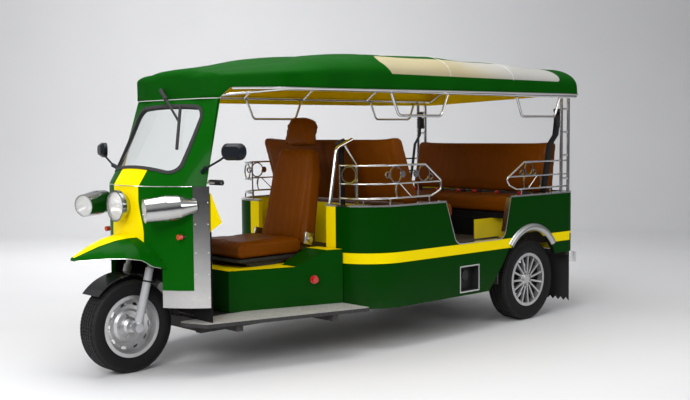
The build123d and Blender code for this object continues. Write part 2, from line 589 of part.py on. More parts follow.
# Body sides: rounded front corner, straight flank, door notch and wheel arch
with BuildPart() as body_side_left:
    with BuildSketch(Plane.XY.offset(BODY_LOW_Z)):
        with BuildLine():
            r, q, b = FRONT_CORNER_R, REAR_CORNER_R, BODY_HALF
            cx, rx = BODY_FRONT_X - r, BODY_REAR_X + q
            Polyline((BODY_FRONT_X - WALL, b - r), (BODY_FRONT_X - WALL, FRONT_RETURN_Y),
                     (BODY_FRONT_X, FRONT_RETURN_Y), (BODY_FRONT_X, b - r))
            CenterArc((cx, b - r), r, 0, 90)
            Line((cx, b), (rx, b))
            CenterArc((rx, b - q), q, 90, 90)
            Line((BODY_REAR_X, b - q), (BODY_REAR_X + WALL, b - q))
            CenterArc((rx, b - q), q - WALL, 90, 90)
            Line((rx, b - WALL), (cx, b - WALL))
            CenterArc((cx, b - r), r - WALL, 0, 90)
        make_face()
    extrude(amount=BODY_TOP_Z - BODY_LOW_Z)
    with BuildSketch(side_plane(BODY_HALF + 50)):
        with BuildLine():
            Polyline(*DOOR, close=True)
        make_face()
        fillet(vertices().group_by(Axis.Z)[0], 70)
        with Locations((ARCH_X, ARCH_Z)):
            Circle(ARCH_R)
        with BuildLine():
            Polyline((-1018, 545), (-955, 450), (-860, 340), (-735, 200), (-1900, 200), (-1900, TAIL_LOW_Z),
                     (-1548, TAIL_LOW_Z), close=True)
        make_face()
    extrude(amount=200, mode=Mode.SUBTRACT)
with BuildPart() as body_side_right:
    mirror(body_side_left.part, about=Plane.XZ)
body_side_right.part.label = "body_side_right"
export_step(body_side_right.part, "parts/body_side_right.step")

PORT = (-692, -490, 289, 469)
with body_side_left:
    block((PORT[0], BODY_HALF - 120, PORT[2]), (PORT[1], BODY_HALF + 40, PORT[3]), Mode.SUBTRACT)
body_side_left.part.label = "body_side_left"
export_step(body_side_left.part, "parts/body_side_left.step")

with BuildPart() as charge_port:
    x0, x1, z0, z1 = PORT
    block((x0 + FIT, BODY_HALF - 70, z0 + FIT), (x1 - FIT, BODY_HALF + 3, z1 - FIT))
    block((x0 + 9, BODY_HALF - 62, z0 + 9), (x1 - 9, BODY_HALF + 10, z1 - 9), Mode.SUBTRACT)
    rod(((x0 + x1) / 2, BODY_HALF - 63, 395), ((x0 + x1) / 2, BODY_HALF - 38, 395), 34)
charge_port.part.label = "charge_port"
export_step(charge_port.part, "parts/charge_port.step")

with BuildPart() as tail_panel:
    y = BODY_HALF - REAR_CORNER_R - FIT
    block((BODY_REAR_X, -y, TAIL_LOW_Z), (BODY_REAR_X + WALL, y, BODY_TOP_Z))
    block((BODY_REAR_X - 6, -262, 560), (BODY_REAR_X, 262, 675))
tail_panel.part.label = "tail_panel"
export_step(tail_panel.part, "parts/tail_panel.step")

# Stainless capping along the top of the tub, with edging round the door openings
with BuildPart() as body_capping:
    with BuildSketch(Plane.XY.offset(BODY_TOP_Z + FIT)):
        with BuildLine():
            r, q, b = FRONT_CORNER_R, REAR_CORNER_R, BODY_HALF + CAP_LIP
            cx, rx, inner = BODY_FRONT_X - r, BODY_REAR_X + q, WALL + 2 * CAP_LIP
            front, rear = BODY_FRONT_X + CAP_LIP, BODY_REAR_X - CAP_LIP
            Polyline((front - inner, b - CAP_LIP - r), (front - inner, FRONT_RETURN_Y), (front, FRONT_RETURN_Y),
                     (front, b - CAP_LIP - r))
            CenterArc((cx, BODY_HALF - r), r + CAP_LIP, 0, 90)
            Line((cx, b), (rx, b))
            CenterArc((rx, BODY_HALF - q), q + CAP_LIP, 90, 90)
            Polyline((rear, BODY_HALF - q), (rear, 0), (rear + inner, 0), (rear + inner, BODY_HALF - q))
            CenterArc((rx, BODY_HALF - q), q + CAP_LIP - inner, 90, 90)
            Line((rx, b - inner), (cx, b - inner))
            CenterArc((cx, BODY_HALF - r), r + CAP_LIP - inner, 0, 90)
        make_face()
    extrude(amount=CAP_T)
    with BuildSketch(side_plane(BODY_HALF + 50)):
        with BuildLine():
            Polyline(*DOOR, close=True)
        make_face()
    extrude(amount=200, mode=Mode.SUBTRACT)
    with BuildSketch(side_plane(BODY_HALF + CAP_LIP)):
        with BuildLine():
            Polyline(*DOOR, close=True)
        make_face()
        fillet(vertices().group_by(Axis.Z)[0], 70)
        offset(amount=-FIT, mode=Mode.REPLACE)
        offset(amount=-6, mode=Mode.SUBTRACT)
        with Locations((-690, BODY_TOP_Z + CAP_T + FIT + 200)):
            Rectangle(1200, 400, mode=Mode.SUBTRACT)
    extrude(amount=WALL + 2 * CAP_LIP)
    mirror(about=Plane.XZ)
body_capping.part.label = "body_capping"
export_step(body_capping.part, "parts/body_capping.step")

# Stainless flare over each rear wheel arch, a rounded band bent round the opening
with BuildPart() as arch_trims:
    lean = math.radians(39)
    flare = Plane(origin=(ARCH_X, 0, ARCH_Z), x_dir=(math.cos(lean), 0, math.sin(lean)),
                  z_dir=(-math.sin(lean), 0, math.cos(lean)))
    with BuildSketch(flare):
        with BuildLine():
            low, foot = ARCH_R - 6, BODY_HALF + FIT
            Line((low, foot), (ARCH_TRIM_R, foot))
            ThreePointArc((ARCH_TRIM_R, foot), (low + 30, foot + ARCH_FLARE), (low, foot))
        make_face()
    revolve(axis=Axis((ARCH_X, 0, ARCH_Z), (0, -1, 0)), revolution_arc=105)
    mirror(about=Plane.XZ)
arch_trims.part.label = "arch_trims"
export_step(arch_trims.part, "parts/arch_trims.step")

# Cabin floor with the front walls and inner sides of the rear wheel wells
with BuildPart() as cabin_floor:
    with BuildSketch(Plane.XY.offset(FLOOR_Z - FLOOR_T)):
        inner, r = BODY_HALF - WALL - FIT, FRONT_CORNER_R - WALL - FIT
        with BuildLine():
            cx, q = BODY_FRONT_X - FRONT_CORNER_R, REAR_CORNER_R - WALL - FIT
            front, rear = cx + r, BODY_REAR_X + WALL + FIT
            Line((front, -BODY_HALF + FRONT_CORNER_R), (front, BODY_HALF - FRONT_CORNER_R))
            CenterArc((cx, BODY_HALF - FRONT_CORNER_R), r, 0, 90)
            Polyline((cx, inner), (WELL_FRONT_X, inner), (WELL_FRONT_X, WELL_Y), (rear, WELL_Y),
                     (rear, -WELL_Y), (WELL_FRONT_X, -WELL_Y), (WELL_FRONT_X, -inner), (cx, -inner))
            CenterArc((cx, -BODY_HALF + FRONT_CORNER_R), r, 270, 90)
        make_face()
    extrude(amount=FLOOR_T)
    for s in (-1, 1):
        y0, y1 = sorted((s * WELL_Y, s * (WELL_Y - 12)))
        block((rear, y0, 510), (WELL_FRONT_X, y1, FLOOR_Z + 138))
        y0, y1 = sorted((s * (WELL_Y - 12), s * inner))
        block((WELL_FRONT_X, y0, 300), (WELL_FRONT_X + 12, y1, FLOOR_Z))
cabin_floor.part.label = "cabin_floor"
export_step(cabin_floor.part, "parts/cabin_floor.step")

# Bench bases: one box under the middle bench with a wall behind the driver, one over the rear axle
with BuildPart() as bench_bases:
    z0, inner = FLOOR_Z + FIT, BODY_HALF - WALL - FIT
    block((-470, -660, z0), (-60, 660, CUSHION_LOW_Z - FIT))
    block((-458, -700, z0 - 5), (-90, 700, CUSHION_LOW_Z - 30), Mode.SUBTRACT)
    block((-90, -660, z0), (-60, 660, 880))
    block((-1150, -WELL_Y + 12 + FIT, z0), (-1130, WELL_Y - 12 - FIT, FLOOR_Z + 138))
    block((BODY_REAR_X + 100, -inner, FLOOR_Z + 138 + FIT), (-1130, inner, CUSHION_LOW_Z - FIT))
bench_bases.part.label = "bench_bases"
export_step(bench_bases.part, "parts/bench_bases.step")

# Bench cushions and backs
benches = [
    ("middle", -1, MIDDLE_FRONT_X, -118, [(-192, CUSHION_TOP_Z + FIT), (-22, 1335), (78, 1335), (-56, CUSHION_TOP_Z + FIT)]),
    ("rear", 1, REAR_FRONT_X, BODY_REAR_X + 225, [
        (BODY_REAR_X + 327, CUSHION_TOP_Z + FIT), (BODY_REAR_X + 243, 1290), (BODY_REAR_X + 135, 1290),
        (BODY_REAR_X + 185, CUSHION_TOP_Z + FIT)]),
]
for place, sign, front_x, back_x, profile in benches:
    with BuildPart() as cushion:
        block((min(front_x, back_x), -BENCH_HALF, CUSHION_LOW_Z), (max(front_x, back_x), BENCH_HALF, CUSHION_TOP_Z))
        fillet(cushion.edges().filter_by(Axis.Y), 34)
        fillet(cushion.faces().sort_by(Axis.Y)[0].edges() + cushion.faces().sort_by(Axis.Y)[-1].edges(), 18)
    cushion.part.label = f"{place}_bench_cushion"
    export_step(cushion.part, f"parts/{place}_bench_cushion.step")
    with BuildPart() as backrest:
        with BuildSketch(side_plane(BENCH_HALF)):
            with BuildLine():
                Polyline(*profile, close=True)
            make_face()
            fillet(vertices(), 26)
        extrude(amount=2 * BENCH_HALF)
        fillet(backrest.faces().sort_by(Axis.Y)[0].edges() + backrest.faces().sort_by(Axis.Y)[-1].edges(), 16)
    backrest.part.label = f"{place}_bench_back"
    export_step(backrest.part, f"parts/{place}_bench_back.step")

# Ornamental railings on the capping: a bent hoop tube with a bull nose at the door, a thinner middle
# rail, short posts, rings and discs in the upper band, and bowed bars with a diagonal in the lower band
RAILING_Y, RAILING_R, MID_RAIL_R, RAILING_POST_R, WIRE = BODY_HALF - 28, 6.5, 5.5, 5, 8
CAP_TOP = BODY_TOP_Z + CAP_T + FIT
POST_X, POST_GAP, POST_Y = BODY_REAR_X + 135, 44, BODY_HALF - 8
RAILING_LOW_Z, RAILING_MID_Z, FRONT_TOP_Z, REAR_TOP_Z = 951, 1041, 1155, 1141
RAILING_REAR_X, NOSE_BEND = BODY_REAR_X + 53, 18
FRONT_NOSE = [(-185, FRONT_TOP_Z), (-335, 1048), (-335, 990), (-240, RAILING_LOW_Z)]
REAR_NOSE = [(-1227, REAR_TOP_Z), (-1033, 1033), (-1033, 1010), (-1057, 982), (-1139, RAILING_LOW_Z)]
RINGS = [               # x, z and outer radius of each ring in the upper bands
    (87, 1098, 54), (157, 1098, 22), (-170, 1098, 54), (-235, 1074, 22),
    (-1277, 1091, 48), (-1200, 1064, 22), (-1345, 1064, 22),
]
DISCS = [(24, 1098, 22), (-98, 1098, 22)]
BOWED = [(-16, 996, 105), (-1320, 988, 105)]
DIAGONALS = [(50, -60), (-1380, -1275)]
for side, s in (("left", 1), ("right", -1)):
    with BuildPart() as railing:
        cx, cy = BODY_FRONT_X - FRONT_CORNER_R, BODY_HALF - FRONT_CORNER_R
        corner = RAILING_Y - cy

        def on_corner(turn, s=s):
            """Plan position on the rounded corner, measured from the left or right."""
            t = math.radians(turn)
            return cx + corner * math.sin(t), s * (cy + corner * math.cos(t))

        bend = [on_corner(a) for a in (88, 45, 0)]
        with BuildLine() as hoop_path:
            ThreePointArc(*[(x, y, FRONT_TOP_Z) for x, y in bend])
            FilletPolyline(*[(x, s * RAILING_Y, z) for x, z in (
                (cx, FRONT_TOP_Z), *FRONT_NOSE, (cx, RAILING_LOW_Z))], radius=NOSE_BEND)
            ThreePointArc(*[(x, y, RAILING_LOW_Z) for x, y in bend[::-1]])
        with BuildSketch(hoop_path.line ^ 0):
            Circle(RAILING_R)
        sweep()
        with BuildLine() as mid_path:
            Line((-335, s * RAILING_Y, RAILING_MID_Z), (cx, s * RAILING_Y, RAILING_MID_Z))
            ThreePointArc(*[(x, y, RAILING_MID_Z) for x, y in bend[::-1]])
        with BuildSketch(mid_path.line ^ 0):
            Circle(MID_RAIL_R)
        sweep()
        for a, top in ((14, RAILING_LOW_Z), (52, RAILING_LOW_Z), (88, FRONT_TOP_Z)):
            rod((*on_corner(a), CAP_TOP), (*on_corner(a), top), RAILING_POST_R)
        with BuildLine() as rear_path:
            FilletPolyline(*[(x, s * RAILING_Y, z) for x, z in (
                (RAILING_REAR_X, REAR_TOP_Z), *REAR_NOSE, (RAILING_REAR_X, RAILING_LOW_Z))], radius=NOSE_BEND)
        with BuildSketch(rear_path.line ^ 0):
            Circle(RAILING_R)
        sweep()
        rod((-1047, s * RAILING_Y, RAILING_MID_Z), (RAILING_REAR_X, s * RAILING_Y, RAILING_MID_Z), MID_RAIL_R)
        for x, top in ((-222, RAILING_LOW_Z), (-1195, RAILING_LOW_Z), (-1536, RAILING_LOW_Z),
                       (RAILING_REAR_X + 8, REAR_TOP_Z)):
            rod((x, s * RAILING_Y, CAP_TOP), (x, s * RAILING_Y, top), RAILING_POST_R)
        for top_x, low_x in DIAGONALS:
            rod((top_x, s * RAILING_Y, RAILING_MID_Z), (low_x, s * RAILING_Y, RAILING_LOW_Z), RAILING_POST_R - 1)
        with BuildSketch(side_plane(s * RAILING_Y + WIRE / 2)):
            for x, z, ring in RINGS + DISCS:
                with Locations((x, z)):
                    Circle(ring)
            for x, z, ring in RINGS:
                with Locations((x, z)):
                    Circle(ring - WIRE, mode=Mode.SUBTRACT)
        extrude(amount=WIRE)
        with BuildSketch(side_plane(s * RAILING_Y + WIRE / 2)):
            for x, z, ring in BOWED:
                with Locations((x, z)):
                    Circle(ring)
                    Circle(ring - WIRE, mode=Mode.SUBTRACT)
            with Locations((-700, (RAILING_LOW_Z + RAILING_MID_Z) / 2)):
                Rectangle(3000, RAILING_MID_Z - RAILING_LOW_Z, mode=Mode.INTERSECT)
        extrude(amount=WIRE)
        ex, ey = on_corner(72)
        turn = math.radians(72)
        out = Vector(math.sin(turn), s * math.cos(turn), 0)
        with BuildSketch(Plane(origin=Vector(ex, ey, 1098) - out * (WIRE / 2), x_dir=(-out.Y, out.X, 0), z_dir=out)):
            Circle(54)
            Circle(54 - WIRE, mode=Mode.SUBTRACT)
        extrude(amount=WIRE)
    railing.part.label = f"railing_{side}"
    export_step(railing.part, f"parts/railing_{side}.step")

# Belt hoop beside the driver: a bent tube on the left return of the capping, braced down to the floor
with BuildPart() as belt_hoop:
    for bends, radius in (
            ([(339, CAP_TOP), (278, 1263), (143, 1315)], 13),
            ([(215, 1287), (104, 1148), (102, FLOOR_Z + FIT)], 12)):
        with BuildLine() as tube:
            FilletPolyline(*[(x, 360, z) for x, z in bends], radius=38)
        with BuildSketch(tube.line ^ 0):
            Circle(radius)
        sweep()
    block((280, 330, CAP_TOP - 60), (400, 390, CAP_TOP), Mode.SUBTRACT)
belt_hoop.part.label = "belt_hoop"
export_step(belt_hoop.part, "parts/belt_hoop.step")

# Twin rear posts with cross pieces, from the capping up to just under the roof rails
POST_TOP_Z = RAIL_Z - RAIL_R - 2
with BuildPart() as rear_posts:
    for s in (-1, 1):
        for dx in (-POST_GAP, POST_GAP):
            rod((POST_X + dx, s * POST_Y, CAP_TOP), (POST_X + dx, s * POST_Y, POST_TOP_Z), 12)
        for z in (1010, 1180, 1350, 1520):
            rod((POST_X - POST_GAP, s * POST_Y, z), (POST_X + POST_GAP, s * POST_Y, z), 8)
rear_posts.part.label = "rear_posts"
export_step(rear_posts.part, "parts/rear_posts.step")

# Roof frame: side rails that turn in to the screen header, and cross bows
with BuildPart() as roof_frame:
    block((fx(-404), -390.4, SCREEN_TOP_Z + FIT), (fx(-372), 390.4, SCREEN_TOP_Z + 34))
    for s in (-1, 1):
        with BuildLine() as rail_path:
            FilletPolyline(
                (fx(-388), s * 400, SCREEN_TOP_Z + 20), (fx(-660), s * 640, RAIL_Z),
                (fx(-930), s * RAIL_Y_OUT, RAIL_Z), (fx(-3412), s * RAIL_Y_OUT, RAIL_Z), radius=90)
        with BuildSketch(rail_path.line ^ 0):
            Circle(RAIL_R)
        sweep()
    for back, crown in ((1010, 1790), (1420, 1832), (1980, 1846), (2640, 1832), (3400, 1806)):
        with BuildLine() as bow:
            slope = 2 * math.atan((crown - RAIL_Z) / (RAIL_Y_OUT - 15))
            end_y = RAIL_Y_OUT - (RAIL_R + 1.2 * FIT) / math.cos(slope)
            ThreePointArc((fx(-back), -end_y, RAIL_Z), (fx(-back), 0, crown), (fx(-back), end_y, RAIL_Z))
        with BuildSketch(bow.line ^ 0):
            Circle(9)
        sweep()
roof_frame.part.label = "roof_frame"
export_step(roof_frame.part, "parts/roof_frame.step")

with BuildPart() as grab_handles:
    for s in (-1, 1):
        for x0, x1 in ((151, -369), (-1096, -1608)):
            y, low = s * RAIL_Y_OUT, 1462
            with BuildLine() as path:
                FilletPolyline((x0, y, RAIL_Z - RAIL_R - FIT), (x0 - 62, y, low), (x1 + 62, y, low),
                               (x1, y, RAIL_Z - RAIL_R - FIT), radius=40)
            with BuildSketch(path.line ^ 0):
                Circle(9)
            sweep()
    with Locations((0, 0, RAIL_Z - RAIL_R - FIT + 25)):
        Box(5000, 2000, 50, mode=Mode.SUBTRACT)
grab_handles.part.label = "grab_handles"
export_step(grab_handles.part, "parts/grab_handles.step")

# Canvas roof: a loaf-shaped skin stretched over the bows, its right valance hanging lower than the left
with BuildPart() as roof_canopy:
    for inset in (0, ROOF_T):
        for i, (back, half, left, right, shoulder, crown) in enumerate(ROOF_STATIONS):
            ends = {0: inset, len(ROOF_STATIONS) - 1: -inset}
            with BuildSketch(Plane(origin=(fx(-back - ends.get(i, 0)), 0, 0), x_dir=(0, 1, 0), z_dir=(1, 0, 0))):
                with BuildLine():
                    w, drop = half - inset, 3 * inset
                    sh, top, cw = shoulder - inset, crown - inset, half * 0.64
                    ct = crown - 26 - inset
                    Polyline((-w, sh), (-w, right - drop), (w, left - drop), (w, sh))
                    mid = (w - (w - cw) * 0.24, sh + (ct - sh) * 0.66)
                    ThreePointArc((w, sh), mid, (cw, ct))
                    ThreePointArc((cw, ct), (0, top), (-cw, ct))
                    ThreePointArc((-cw, ct), (-mid[0], mid[1]), (-w, sh))
                make_face()
        loft(ruled=True, mode=Mode.SUBTRACT if inset else Mode.ADD)
roof_canopy.part.label = "roof_canopy"
export_step(roof_canopy.part, "parts/roof_canopy.step")

# Running gear and heavy masses
with BuildPart() as rear_axle:
    for s in (-1, 1):
        rod((REAR_AXLE_X, s * 150, REAR_TYRE_R), (REAR_AXLE_X, s * 496, REAR_TYRE_R), 36)
        rod((REAR_AXLE_X, s * 490, REAR_TYRE_R), (REAR_AXLE_X, s * (REAR_TRACK / 2 + 30), REAR_TYRE_R), REAR_STUB_R)
rear_axle.part.label = "rear_axle"
export_step(rear_axle.part, "parts/rear_axle.step")

with BuildPart() as leaf_springs:
    for s in (-1, 1):
        with BuildSketch(side_plane(s * RAIL_Y + 28)):
            with BuildLine():
                ThreePointArc((REAR_AXLE_X + 330, 428), (REAR_AXLE_X, 326.3), (REAR_AXLE_X - 330, 428))
                Line((REAR_AXLE_X - 330, 428), (REAR_AXLE_X - 330, 430 - FIT))
                Line((REAR_AXLE_X - 330, 430 - FIT), (REAR_AXLE_X - 270, 430 - FIT))
                ThreePointArc((REAR_AXLE_X - 270, 430 - FIT), (REAR_AXLE_X, 350), (REAR_AXLE_X + 270, 430 - FIT))
                Line((REAR_AXLE_X + 270, 430 - FIT), (REAR_AXLE_X + 330, 430 - FIT))
                Line((REAR_AXLE_X + 330, 430 - FIT), (REAR_AXLE_X + 330, 428))
            make_face()
        extrude(amount=56)
leaf_springs.part.label = "leaf_springs"
export_step(leaf_springs.part, "parts/leaf_springs.step")

with BuildPart() as drive_motor:
    rod((REAR_AXLE_X, -150 + FIT, REAR_TYRE_R), (REAR_AXLE_X, 150 - FIT, REAR_TYRE_R), 108)
drive_motor.part.label = "drive_motor"
export_step(drive_motor.part, "parts/drive_motor.step")

with BuildPart() as battery_pack:
    block((-710, -232, 285 + FIT), (260, 232, 530))
battery_pack.part.label = "battery_pack"
export_step(battery_pack.part, "parts/battery_pack.step")

# Tail: bumper, lamps, mudflaps
with BuildPart() as rear_bumper:
    with BuildSketch(Plane.XY.offset(372)):
        with BuildLine():
            Polyline((-1930, -590), (-1930, 590), (-1880, 690), (-1850, 690), (-1896, 580), (-1896, -580),
                     (-1850, -690), (-1880, -690), close=True)
        make_face()
    extrude(amount=76)
    for s in (-1, 1):
        block((-1897, s * RAIL_Y - 20, 432), (-1782 - FIT, s * RAIL_Y + 20, 462))
rear_bumper.part.label = "rear_bumper"
export_step(rear_bumper.part, "parts/rear_bumper.step")

with BuildPart() as tail_lamps:
    for s in (-1, 1):
        block((BODY_REAR_X - 24, s * 520 - 55, 640), (BODY_REAR_X - FIT, s * 520 + 55, 840))
tail_lamps.part.label = "tail_lamps"
export_step(tail_lamps.part, "parts/tail_lamps.step")

with BuildPart() as mudflaps:
    for s in (-1, 1):
        with BuildSketch(Plane(origin=(-1782 - FIT, 0, 0), x_dir=(0, -1, 0), z_dir=(-1, 0, 0))):
            with BuildLine():
                teeth = [(500 + 95 * k / 4, 84 if k % 2 == 0 else 108) for k in range(9)]
                Polyline(*[(s * a, b) for a, b in teeth], (s * 690, 462), (s * 500, 462),
                         close=True)
            make_face()
        extrude(amount=6)
mudflaps.part.label = "mudflaps"
export_step(mudflaps.part, "parts/mudflaps.step")

# Red stop button low on the left of the plinth
with BuildPart() as stop_button:
    along = Vector(-710, 225, 0).normalized()
    out = Vector(225, 710, 0).normalized()
    foot = Vector(fx(-530), 270, 464) + along * 548 + out * FIT
    rod(foot, foot + out * 8, 26)
    rod(foot + out * 8, foot + out * 30, 19)
stop_button.part.label = "stop_button"
export_step(stop_button.part, "parts/stop_button.step")
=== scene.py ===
"""Studio scene of a three-wheeled passenger rickshaw: finishes, tyres, canvas roof, seats and small trim.

Metres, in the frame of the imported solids: +X forward, +Y left, +Z up, ground at Z = 0.
"""
import logging
import math
from dataclasses import dataclass, field
from enum import Enum
from typing import Any, Callable, Sequence

import bmesh
import bpy
from mathutils import Matrix, Vector, noise


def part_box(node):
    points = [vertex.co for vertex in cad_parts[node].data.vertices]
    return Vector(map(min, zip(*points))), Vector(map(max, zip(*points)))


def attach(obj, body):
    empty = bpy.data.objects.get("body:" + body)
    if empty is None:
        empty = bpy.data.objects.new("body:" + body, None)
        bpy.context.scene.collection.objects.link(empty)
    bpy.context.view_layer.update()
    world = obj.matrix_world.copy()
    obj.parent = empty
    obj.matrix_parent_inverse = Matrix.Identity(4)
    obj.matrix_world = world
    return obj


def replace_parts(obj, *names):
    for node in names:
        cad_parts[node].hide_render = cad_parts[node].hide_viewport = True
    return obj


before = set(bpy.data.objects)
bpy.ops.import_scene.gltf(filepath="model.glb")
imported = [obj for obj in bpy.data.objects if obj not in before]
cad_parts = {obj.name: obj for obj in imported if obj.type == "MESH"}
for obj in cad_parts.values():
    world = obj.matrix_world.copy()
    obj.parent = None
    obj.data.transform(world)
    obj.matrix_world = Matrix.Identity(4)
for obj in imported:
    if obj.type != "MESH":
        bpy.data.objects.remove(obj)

LOG = logging.getLogger("rickshaw")
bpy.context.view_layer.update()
FRONT_AXLE_X, REAR_AXLE_X = 1.6, -1.32

Colour = tuple[float, float, float]
Point = tuple[float, float, float]

GREEN: Colour = (0.0005, 0.052, 0.0005)
YELLOW: Colour = (0.86, 0.66, 0.0)
LEATHER: Colour = (0.165, 0.043, 0.0002)
BLACK: Colour = (0.008, 0.008, 0.0085)

# Edges of the yellow scheme: the flash down the middle of the front, the stripe and the inside of the body
FLASH_HALF, FLASH_TOP_Z, FLASH_FLARE = 0.129, 0.97, 0.034
SCREEN_FLASH_HALF, SCREEN_FLASH_TOP_Z = 0.132, 1.26
NOSE_FLASH_HALF, NOSE_FLASH_TAPER = 0.106, 0.28
STRIPE_LOW_Z, STRIPE_HIGH_Z = 0.549, 0.615
FRONT_CORNER_X, FRONT_CORNER_Y, FRONT_CORNER_R = 0.065, 0.43, 0.270
REAR_CORNER_X, REAR_CORNER_Y, REAR_CORNER_R = -1.735, 0.63, 0.070
CORNERS_PART_X = -1.5
DOOR_RETURN_HALF, DOOR_RETURN_X = 0.428, 0.3

# Edges of the black underseal on the leg shield's lining and in the wheel wells, and of the black painted
# shadow on the bench bases
LINING_LOW_Z, LINING_HALF = 0.815, 0.315
BENCH_PAINTED_SHADOW_X = -0.10
WELL_TOP_Z, WELL_FRONT_X, WELL_REAR_X, WELL_OUT_Y = 0.598, -0.94, -1.79, 0.7185

# The pale panel on the roof cloth
PANEL_Z, PANEL_HALF_Z, PANEL_BACK, PANEL_HALF_X = 1.7725, 0.010, 0.695, 0.865
PANEL_CORNER_R, PANEL_FRONT_X, PANEL_FADE_X = 0.0475, 0.205, -0.72

SWELL_FRAMES = 20


def tone(colour: Colour, share: float) -> Colour:
    """A colour made lighter or darker."""
    return tuple(share * c for c in colour)


def add_object(name: str, data: bpy.types.ID) -> bpy.types.Object:
    """A new object in the scene.

    Args:
        name: its name.
        data: its mesh, camera or light.

    Returns:
        The object.
    """
    made = bpy.data.objects.new(name, data)
    bpy.context.scene.collection.objects.link(made)
    return made


def ahead(x: float) -> float:
    """X of a point a given distance ahead of the front axle."""
    return FRONT_AXLE_X + x


class Value:
    """A shader socket that arithmetic can be written on."""

    def __init__(self, recipe: "Recipe", socket: bpy.types.NodeSocket) -> None:
        """Wrap one output socket of a recipe's tree."""
        self.recipe, self.socket = recipe, socket

    def _math(self, operation: str, *others: Any, first: Any = None) -> "Value":
        """Add one Math node.

        Args:
            operation: the Math node's operation.
            others: the operands after this one.
            first: an operand that comes before this one.

        Returns:
            The node's result.
        """
        operands = [self, *others] if first is None else [first, self]
        return self.recipe.node("ShaderNodeMath", {"operation": operation}, dict(enumerate(operands)))

    def __add__(self, other: Any) -> "Value":
        """Sum."""
        return self._math("ADD", other)

    __radd__ = __add__

    def __sub__(self, other: Any) -> "Value":
        """Difference."""
        return self._math("SUBTRACT", other)

    def __rsub__(self, other: Any) -> "Value":
        """Reflected difference."""
        return self._math("SUBTRACT", first=other)

    def __mul__(self, other: Any) -> "Value":
        """Product."""
        return self._math("MULTIPLY", other)

    __rmul__ = __mul__

    def __pow__(self, other: Any) -> "Value":
        """Power."""
        return self._math("POWER", other)

    def __abs__(self) -> "Value":
        """Size without sign."""
        return self._math("ABSOLUTE")

    def __or__(self, other: Any) -> "Value":
        """The larger of two values, which joins two masks."""
        return self._math("MAXIMUM", other)

    def __and__(self, other: Any) -> "Value":
        """The smaller of two values, which crosses two masks."""
        return self._math("MINIMUM", other)

    def wave(self, length: float) -> "Value":
        """A sine of this value with the given wave length, from -1 to 1."""
        return (self * (2 * math.pi / length))._math("SINE")

    def above(self, edge: Any, soft: float = 0.0008) -> "Value":
        """Mask of where this value is over an edge.

        Args:
            edge: the level, a number or a value.
            soft: half the width of the change.

        Returns:
            0 below the edge and 1 above it.
        """
        low, high = (edge - soft, edge + soft)
        return self.recipe.node(
            "ShaderNodeMapRange", {"interpolation_type": "SMOOTHSTEP"},
            {"Value": self, "From Min": low, "From Max": high})

    def below(self, edge: Any, soft: float = 0.0008) -> "Value":
        """Mask of where this value is under an edge."""
        return 1 - self.above(edge, soft)


